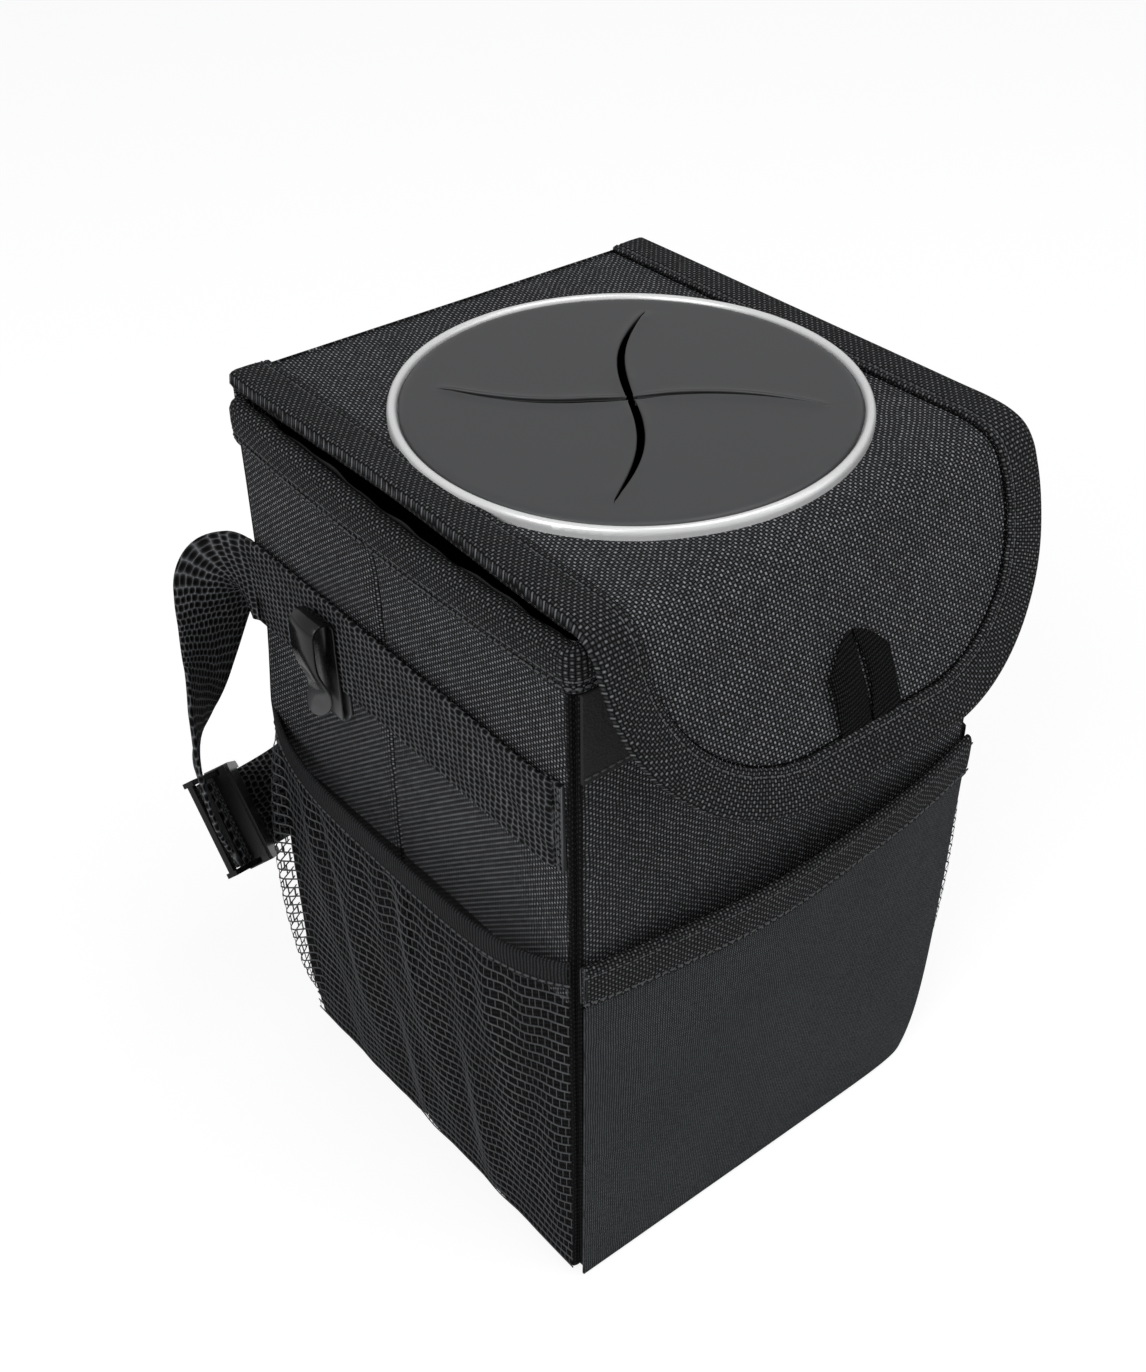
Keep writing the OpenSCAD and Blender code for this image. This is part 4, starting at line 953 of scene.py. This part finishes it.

# Clips. Sprung steel strips in black enamel that slide on the webbing. Each goes down behind it, up
# in front of it and down again as a waved leaf with a round tip; the clip turns light grey towards its lower
# end.
enamel = plain("black_enamel", (0.006, 0.006, 0.0065), 0.22, grain=500, relief=0.000004)
tree = enamel.node_tree
place = tree.nodes.new("ShaderNodeTexCoord")
height = node(tree, "ShaderNodeSeparateXYZ", Vector=place.outputs["Object"])
# The colour turns from black to light grey from 200 mm down to 179 mm.
lower_end_share = node(tree, "ShaderNodeMapRange", Value=height.outputs["Z"], From_Min=0.2, From_Max=0.179)
base_colour = tree.nodes["Principled BSDF"].inputs["Base Color"]
lighter_lower_end = mixed(tree, lower_end_share.outputs["Result"], base_colour.links[0].from_socket, (0.11, 0.112, 0.116, 1))
feed(tree, base_colour, lighter_lower_end)


def arc(y, z, radius, first, last, count):
    """Points on an arc round a middle, without the first one."""
    angles = np.radians(np.linspace(first, last, count))[1:]
    return [(y + radius * math.cos(a), z + radius * math.sin(a)) for a in angles]


clip_y, clip_w, clip_half_thick = 35, 6.4, 0.45
clip_stops = [(0.85, 209), (0.85, 195), (0.85, 181)]
clip_stops += arc(2.5, 180, 1.65, 180, 360, 13)
clip_stops += [(4.15, 190), (4.15, 201), (4.15, 211)]
clip_stops += arc(7.9, 214, 3.75, 180, 0, 17)
clip_stops += [(11.75, 210), (11.6, 205), (10.7, 199.5), (9.0, 194.5), (7.7, 190.5), (7.7, 187), (9.0, 184)]
clip_line = spline(clip_stops + [(10.9, 181.6)], 150)
clip_far = lengths(clip_line) / MM
waist = 1 - 0.12 * np.exp(-((clip_line[:, 1] - 199) / 6) ** 2) * (clip_far > 60)
tip_left = np.clip(clip_far[-1] - clip_far, 0.02, clip_w)
round_tip = np.sqrt(np.maximum(clip_w ** 2 - (clip_w - tip_left) ** 2, 0.04))
clip_half = np.where(tip_left < clip_w, round_tip, clip_w) * waist
clip_ahead = np.gradient(clip_line, axis=0)
clip_ahead /= np.linalg.norm(clip_ahead, axis=1)[:, None]
half_section = [(-1, -0.6), (-0.97, -1), (0, -1), (0.97, -1), (1, -0.6)]
for side, word in ((-1, "left"), (1, "right")):
    rows = []
    for across, through in half_section + [(-a, -b) for a, b in half_section]:
        out_from = clip_line[:, 0] + clip_ahead[:, 1] * through * clip_half_thick
        up = clip_line[:, 1] - clip_ahead[:, 0] * through * clip_half_thick
        wall_x = half_sizes(strap_z)[0] + (up - strap_z) * flare / tall
        rows.append(np.stack([side * (wall_x + out_from), clip_y + clip_half * across, up], -1))
    rows = np.array(rows).transpose(1, 0, 2)
    clip_uv = np.stack(np.meshgrid(np.arange(11) * MM, clip_far * MM), -1)
    clip = skin(word + "_spring_clip", rows, clip_uv, enamel, wrap=True, caps=True)
    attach(clip, word + "_clip")
    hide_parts(word + "_clip")

# Pull tab. One length of ribbed grosgrain, folded into two legs that meet in a point and sewn
# under the flap's tape. The left leg lies over the right one and stands off the flap.
grosgrain = fabric("grosgrain", (0.0012, 0.0012, 0.0013), (0.03, 0.031, 0.033), (0.0006, 0.0013), 0.0005,
                   uneven=0.4, shine=0.06)
tab_foot, sewn_under = sheet_end - 13.4, 2.5
across, share = np.meshgrid(np.linspace(0, 1, 15), np.linspace(0, 1, 26))
for word, edges, tops, rise in (
        ("left", (-12.2, -0.4), (18.5, 28), 3.0),
        ("right", (0.5, 11.6), (27.5, 19), 1.1)):
    slope = np.sin(np.pi / 2 * across) ** 0.9 if word == "left" else 1 - np.cos(np.pi / 2 * across)
    top = tops[0] + (tops[1] - tops[0]) * slope
    up = -sewn_under + (top + sewn_under) * share
    lens = np.sin(np.pi * np.clip(up / 27.5, 0, 1)) ** 1.5
    split = -lens * 0.5 * across ** 3 if word == "left" else lens * 2.1 * (1 - across) ** 2
    x = edges[0] + (edges[1] - edges[0]) * across + split
    off = 0.75 + rise * np.sin(np.pi * np.clip(up / 31, 0, 1)) * (0.45 + 0.55 * np.sin(np.pi * across) ** 0.5)
    leg_uv = np.stack([x, up - 0.22 * x], -1) * MM
    leg = skin(word + "_tab_leg", on_lid(x, tab_foot - up, off), leg_uv, grosgrain)
    thicken(leg, "tape", 0.6, offset=0)
    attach(leg, "flap")
    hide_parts("pull_tab")

# Stitching. Every tape is sewn down with black thread in short lockstitches; the rim, the lid and
# the pocket's tape have two rows. A row of near-black stitches at the inner edge of these tapes is painted
# shadow.
def stitched(name, lines, pitch, material):
    """Short stitches along lines of points in mm, as one mesh made with Geometry Nodes."""
    settings = ("Pitch", "Float", pitch), ("Thread", "Float", 0.0004), ("Material", "Material", material)
    tree, given, identifiers = node_group("stitches", settings)
    curve = node(tree, "GeometryNodeMeshToCurve", Mesh=given["Geometry"])
    points = node(tree, "GeometryNodeCurveToPoints", Curve=curve.outputs[0])
    points.mode = "LENGTH"
    feed(tree, points.inputs["Length"], given["Pitch"])
    start, end = (vector(tree, Z=calc(tree, "MULTIPLY", given["Pitch"], share)) for share in (-0.36, 0.36))
    along = tree.nodes.new("GeometryNodeSplineParameter").outputs["Factor"]
    bulge = calc(tree, "POWER", calc(tree, "SINE", calc(tree, "MULTIPLY_ADD", along, 2.5, 0.32)), 0.6)
    stitch = cord(tree, start, end, 5, given["Thread"], 6, scale=bulge, caps=True)
    placed = node(tree, "GeometryNodeInstanceOnPoints", Points=points.outputs["Points"],
                  Rotation=points.outputs["Rotation"], Instance=stitch)
    close_group(tree, placed.outputs[0], given["Material"])
    mesh = bpy.data.meshes.new(name)
    verts, edges = [], []
    for line in lines:
        first = len(verts)
        verts += (np.array(line) * MM).tolist()
        edges += [(first + k, first + k + 1) for k in range(len(line) - 1)]
    mesh.from_pydata(verts, edges, [])
    return grown(name, mesh, tree, identifiers, settings)


def round_rim(z, off):
    """A closed line round the rim at a height, standing off the walls and sagging with the tape."""
    level, outside = ring(z, 0, rim_corner)
    line = np.column_stack([level[:, :2] + outside * off, z + rim_sag])
    return np.vstack([line, line[:1]])


thread = plain("sewing_thread", (0.075, 0.077, 0.081), 0.5, grain=1500, relief=0.00003)
# Painted shadow: a near-black, matte thread for the dark line at the tapes' inner edges.
painted_shadow_thread = plain("painted_shadow_thread", (0.002, 0.002, 0.0022), 0.9, grain=1500, relief=0.00003, specular=0.05)
bin_lines = [round_rim(rim_z - drop, 1.4) for drop in (10.9, 8.6)]
for inset in (13.6, 2.2):
    bin_lines.append(pocket_tape_place(mouth_u, pocket_top(mouth_u) - inset, 2.15))
for side in (-1, 1):
    high = mesh_top(elastic_u) - 8.9
    bin_lines.append(on_side(elastic_u, high, mesh_swell(elastic_u, high) + 0.85, side))
    strap_x = side * (half_sizes(strap_z)[0] + 1.9)
    for y in (-76.4, -70.6):
        bin_lines.append([(strap_x, y, z) for z in np.linspace(191.5, 220.5, 20)])
loop_seam_z = 226.0
bin_lines.append([(x, -half_sizes(loop_seam_z)[1] - 1.5, loop_seam_z) for x in np.linspace(-81, 81, 60)])
# Lines of painted shadow along the inner edges of the rim tape and the pocket's tape.
edge_lines = [round_rim(255.6, 0.2), pocket_tape_place(mouth_u, pocket_top(mouth_u) - 15.7, 1.1)]
bin_stitches = stitched("stitches_of_the_bin", bin_lines, 0.0028, thread)
bin_edge_shadows = stitched("painted_edge_shadows_of_the_bin", edge_lines, 0.0016, painted_shadow_thread)
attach(bin_edge_shadows, "bin")
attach(bin_stitches, "bin")
lid_lines = [on_lid(edge_x + a * out_x, edge_s + a * out_s, 1.3) for a in (-11.1, -9.0)]
# A line of painted shadow along the inner edge of the lid's tape.
lid_edge_line = on_lid(edge_x - 13.9 * out_x, edge_s - 13.9 * out_s, 0.2)
lid_stitches = stitched("stitches_of_the_lid", lid_lines, 0.0028, thread)
lid_edge_shadows = stitched("painted_edge_shadow_of_the_lid", [lid_edge_line], 0.0016, painted_shadow_thread)
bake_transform(lid_edge_shadows)
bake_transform(lid_stitches)
